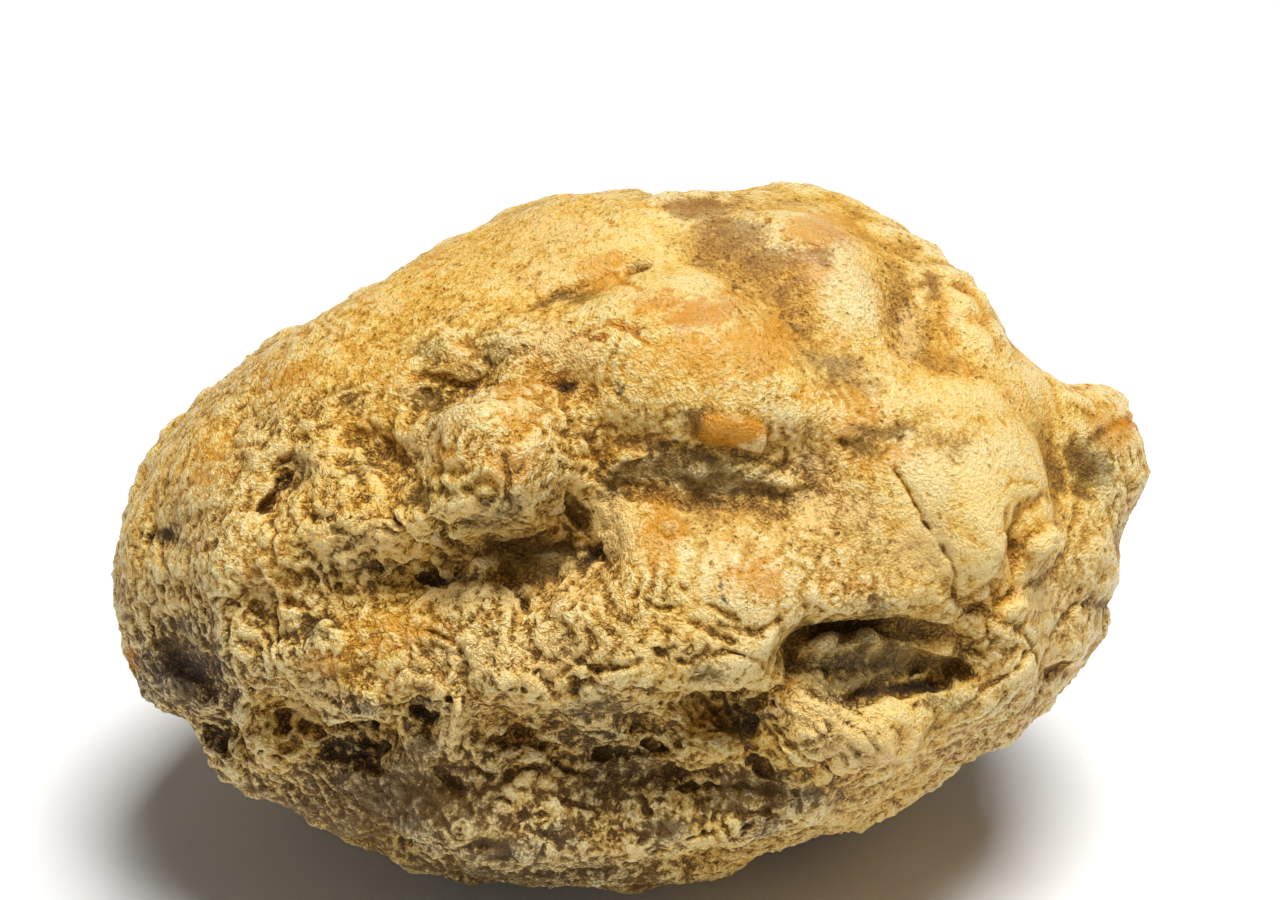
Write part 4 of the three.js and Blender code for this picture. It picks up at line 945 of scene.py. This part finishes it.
def crust_finish():
    """Chalky, waxy crust: cream on the crests, ochre between, and dark dirt with painted shade in the deep
    pits. Painted shade also darkens the hollows, the underside and shadowed patches, and painted light
    brightens shaded spots.
    """
    crust = Finish("weathered_crust")
    place = crust.node("TexCoord", output="Object")
    fine_hollow = crust.number("fine_hollow")
    broad_hollow = crust.number("broad_hollow")
    shut_in = crust.number("shelter")
    crumbly = 1 - crust.number("worn")
    cloud = crust.noise(place, 10, 3, 0.6, 0.6)
    mottle = crust.noise(place, 2.4, 4, 0.62, 0.8)
    grain = crust.noise(place, 0.45, 4, 0.7, 0.4)
    wandering = crust.nudged(place, 0.9, 0.6)
    wrinkles = (abs(crust.noise(wandering, 0.7, 1)) * 7).over(0, 1)
    fine_wrinkles = (abs(crust.noise(wandering, 0.32, 1)) * 7).over(0, 1)
    grit = 0.5 - crust.cells(wandering, 0.22)
    specks = crust.noise(place, 0.17, 2, 0.6)
    pore_size = crust.noise(place, 1.6, 1) * 0.7 + 0.22
    pores = (pore_size - crust.cells(wandering, 0.55)).over(0.0, 0.1)

    patchy = (fine_hollow * 0.25 - crust.noise(place, 5, 2) * 1.5).over(-0.3, 0.3)
    patchy = crumbly * (patchy * 0.7 + 0.3)
    wrinkled = ((wrinkles - 0.6) * 0.3 + (fine_wrinkles - 0.6) * 0.36) * patchy
    # The level falls in fine and broad hollows: partly the crust's own ochre there, partly painted shade.
    level = wrinkled + grit * 0.3 + mottle * 0.5 + grain * 0.6 + specks * 0.9 - fine_hollow * 0.3
    level = level - broad_hollow * 0.12 - pores * 0.3 + 0.56
    browns = [
        (0.0, colour(126, 86, 28)), (0.28, colour(182, 134, 54)), (0.5, colour(212, 166, 78)),
        (0.7, colour(232, 194, 110)), (1.0, colour(250, 228, 168)),
    ]
    golds = [
        (0.0, colour(146, 98, 18)), (0.28, colour(202, 144, 40)), (0.5, colour(230, 174, 66)),
        (0.7, colour(242, 198, 98)), (1.0, colour(252, 224, 148)),
    ]
    brown = crust.node("ValToRGB", {"stops": browns}, {0: level})
    gold = crust.node("ValToRGB", {"stops": golds}, {0: level})
    golden = (cloud + mottle * 0.4 - crumbly * 0.1).over(-0.2, 0.08)
    tone = crust.tint(golden, brown, gold)

    crests = wrinkled + grit * 0.5 - fine_hollow * 0.3

    # Lays one named ink over the tone; some inks are stains, some are painted shade and the pale one is
    # painted light.
    def stain_and_painted_light(name, ink, strength, spare=0.5, low=0.3, high=0.8):
        share = crust.number(name) + mottle * 0.9 + grain * 0.8 - crests * spare
        return crust.tint(share.over(low, high) * strength, tone, ink)

    # Pale tint: cream on the crests, and painted light on shaded spots, with a painted highlight on the
    # lump.
    tone = stain_and_painted_light("pale", colour(252, 214, 136), 0.6, -0.5)
    tone = stain_and_painted_light("pink", colour(210, 134, 60), 0.6)
    tone = stain_and_painted_light("orange", colour(220, 148, 26), 0.65)
    tone = stain_and_painted_light("amber", colour(216, 142, 0), 0.95, 0.0, 0.3, 0.9)
    tone = stain_and_painted_light("purple", colour(146, 98, 46), 0.65)
    tone = stain_and_painted_light("ash", colour(168, 148, 96), 0.6, 0.3, 0.3, 1.1)
    # Soil tint: dirt low down, and painted shade on the underside.
    tone = stain_and_painted_light("soil", colour(90, 60, 14), 0.85, 0.9, 0.3, 1.0)
    # Olive tint: olive-brown crust, and painted shade under the lump, the brow and the cave lip.
    tone = stain_and_painted_light("olive", colour(94, 70, 18), 0.75, 0.7, 0.3, 1.0)
    # Grey tint: grey-brown crust, darkened on the cave floor as painted shade.
    tone = stain_and_painted_light("grey", colour(94, 76, 34), 0.65, 0.7, 0.3, 1.0)
    # Dark tint: small dark chips, and painted shade on the shadowed left facet and the cave floor.
    tone = stain_and_painted_light("dark", colour(46, 30, 8), 0.85, 0.6, 0.3, 1.0)

    # Darker where the crust shuts a spot in: dirt in the pits, and painted shade.
    deep = (shut_in + mottle * 0.3).over(0.25, 0.75)
    tone = crust.tint(deep * 0.5, tone, colour(74, 60, 30))
    dust = (grain * 0.7 - wrinkled).over(0.15, 0.4)
    tone = crust.tint(dust * 0.25, tone, colour(124, 84, 22))

    waxy = (mottle - fine_hollow * 0.6).over(0.0, 0.6)
    wet = (crust.number("soil") + crust.number("grey") + mottle).over(0.3, 0.9) * crumbly
    soiled_and_shaded = (crust.number("soil") + crust.number("dark")).over(0.2, 1.0)
    roughness = 0.5 - waxy * 0.22 + soiled_and_shaded * 0.25 - wet * 0.12 + grain * 0.5
    height = wrinkled * 0.27 + grit * 0.1 + grain * 0.25 + specks * 0.1 - pores * 0.1
    relief = crust.node("Bump", None, {"Height": height, "Strength": 1.0, "Distance": 1 * MM})
    shader = crust.node("BsdfPrincipled", None, {
        "Base Color": tone, "Roughness": roughness, "Normal": relief,
        "Subsurface Weight": 0.08, "Subsurface Radius": (1.0, 0.6, 0.3), "Subsurface Scale": 0.6 * MM,
        "Specular IOR Level": 0.4, "Coat Weight": waxy * 0.08 + wet * 0.06, "Coat Roughness": 0.12,
    })
    crust.node("OutputMaterial", None, {"Surface": shader})
    return crust.material


def camera_and_light():
    eye = bpy.data.objects.new("camera", bpy.data.cameras.new("camera"))
    bpy.context.collection.objects.link(eye)
    turn = Matrix((ACROSS, UP, OUT)).transposed()
    eye.matrix_world = Matrix.Translation(Vector(EYE * MM)) @ turn.to_4x4()
    eye.data.lens = 85
    eye.data.sensor_width = 36
    eye.data.clip_start = 0.01
    bpy.context.scene.camera = eye
    bpy.context.scene.view_settings.view_transform = "Standard"

    def lamp(name, place, size, watts):
        light = bpy.data.lights.new(name, "AREA")
        light.size = size
        light.energy = watts
        holder = bpy.data.objects.new(name, light)
        bpy.context.collection.objects.link(holder)
        holder.location = place
        holder.rotation_euler = (-holder.location).to_track_quat("-Z", "Y").to_euler()

    lamp("overhead_softbox", (0.20, -0.06, 1.2), 0.5, 19)
    lamp("fill_card", (-0.45, -0.5, 0.25), 0.5, 0.3)
    world = bpy.data.worlds.new("studio")
    world.use_nodes = True
    world.node_tree.nodes["Background"].inputs["Color"].default_value = (1, 1, 1, 1)
    world.node_tree.nodes["Background"].inputs["Strength"].default_value = 0.12
    bpy.context.scene.world = world

    bpy.ops.object.select_all(action="DESELECT")
    bpy.ops.mesh.primitive_plane_add(size=4, location=(0, 0, 0))
    floor = bpy.context.object
    floor.name = "floor"
    paper = bpy.data.materials.new("pale_paper")
    paper.use_nodes = True
    shader = paper.node_tree.nodes["Principled BSDF"]
    shader.inputs["Base Color"].default_value = (0.86, 0.86, 0.85, 1)
    shader.inputs["Roughness"].default_value = 0.9
    floor.data.materials.append(paper)


camera_and_light()
stone = copy_of_solid()
work_the_crust(stone)
roughen(stone)
thin_out(stone)
untangle(stone)
keep_colour_numbers(stone)
stone.data.materials.append(crust_finish())

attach(stone, "root")
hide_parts("geode")
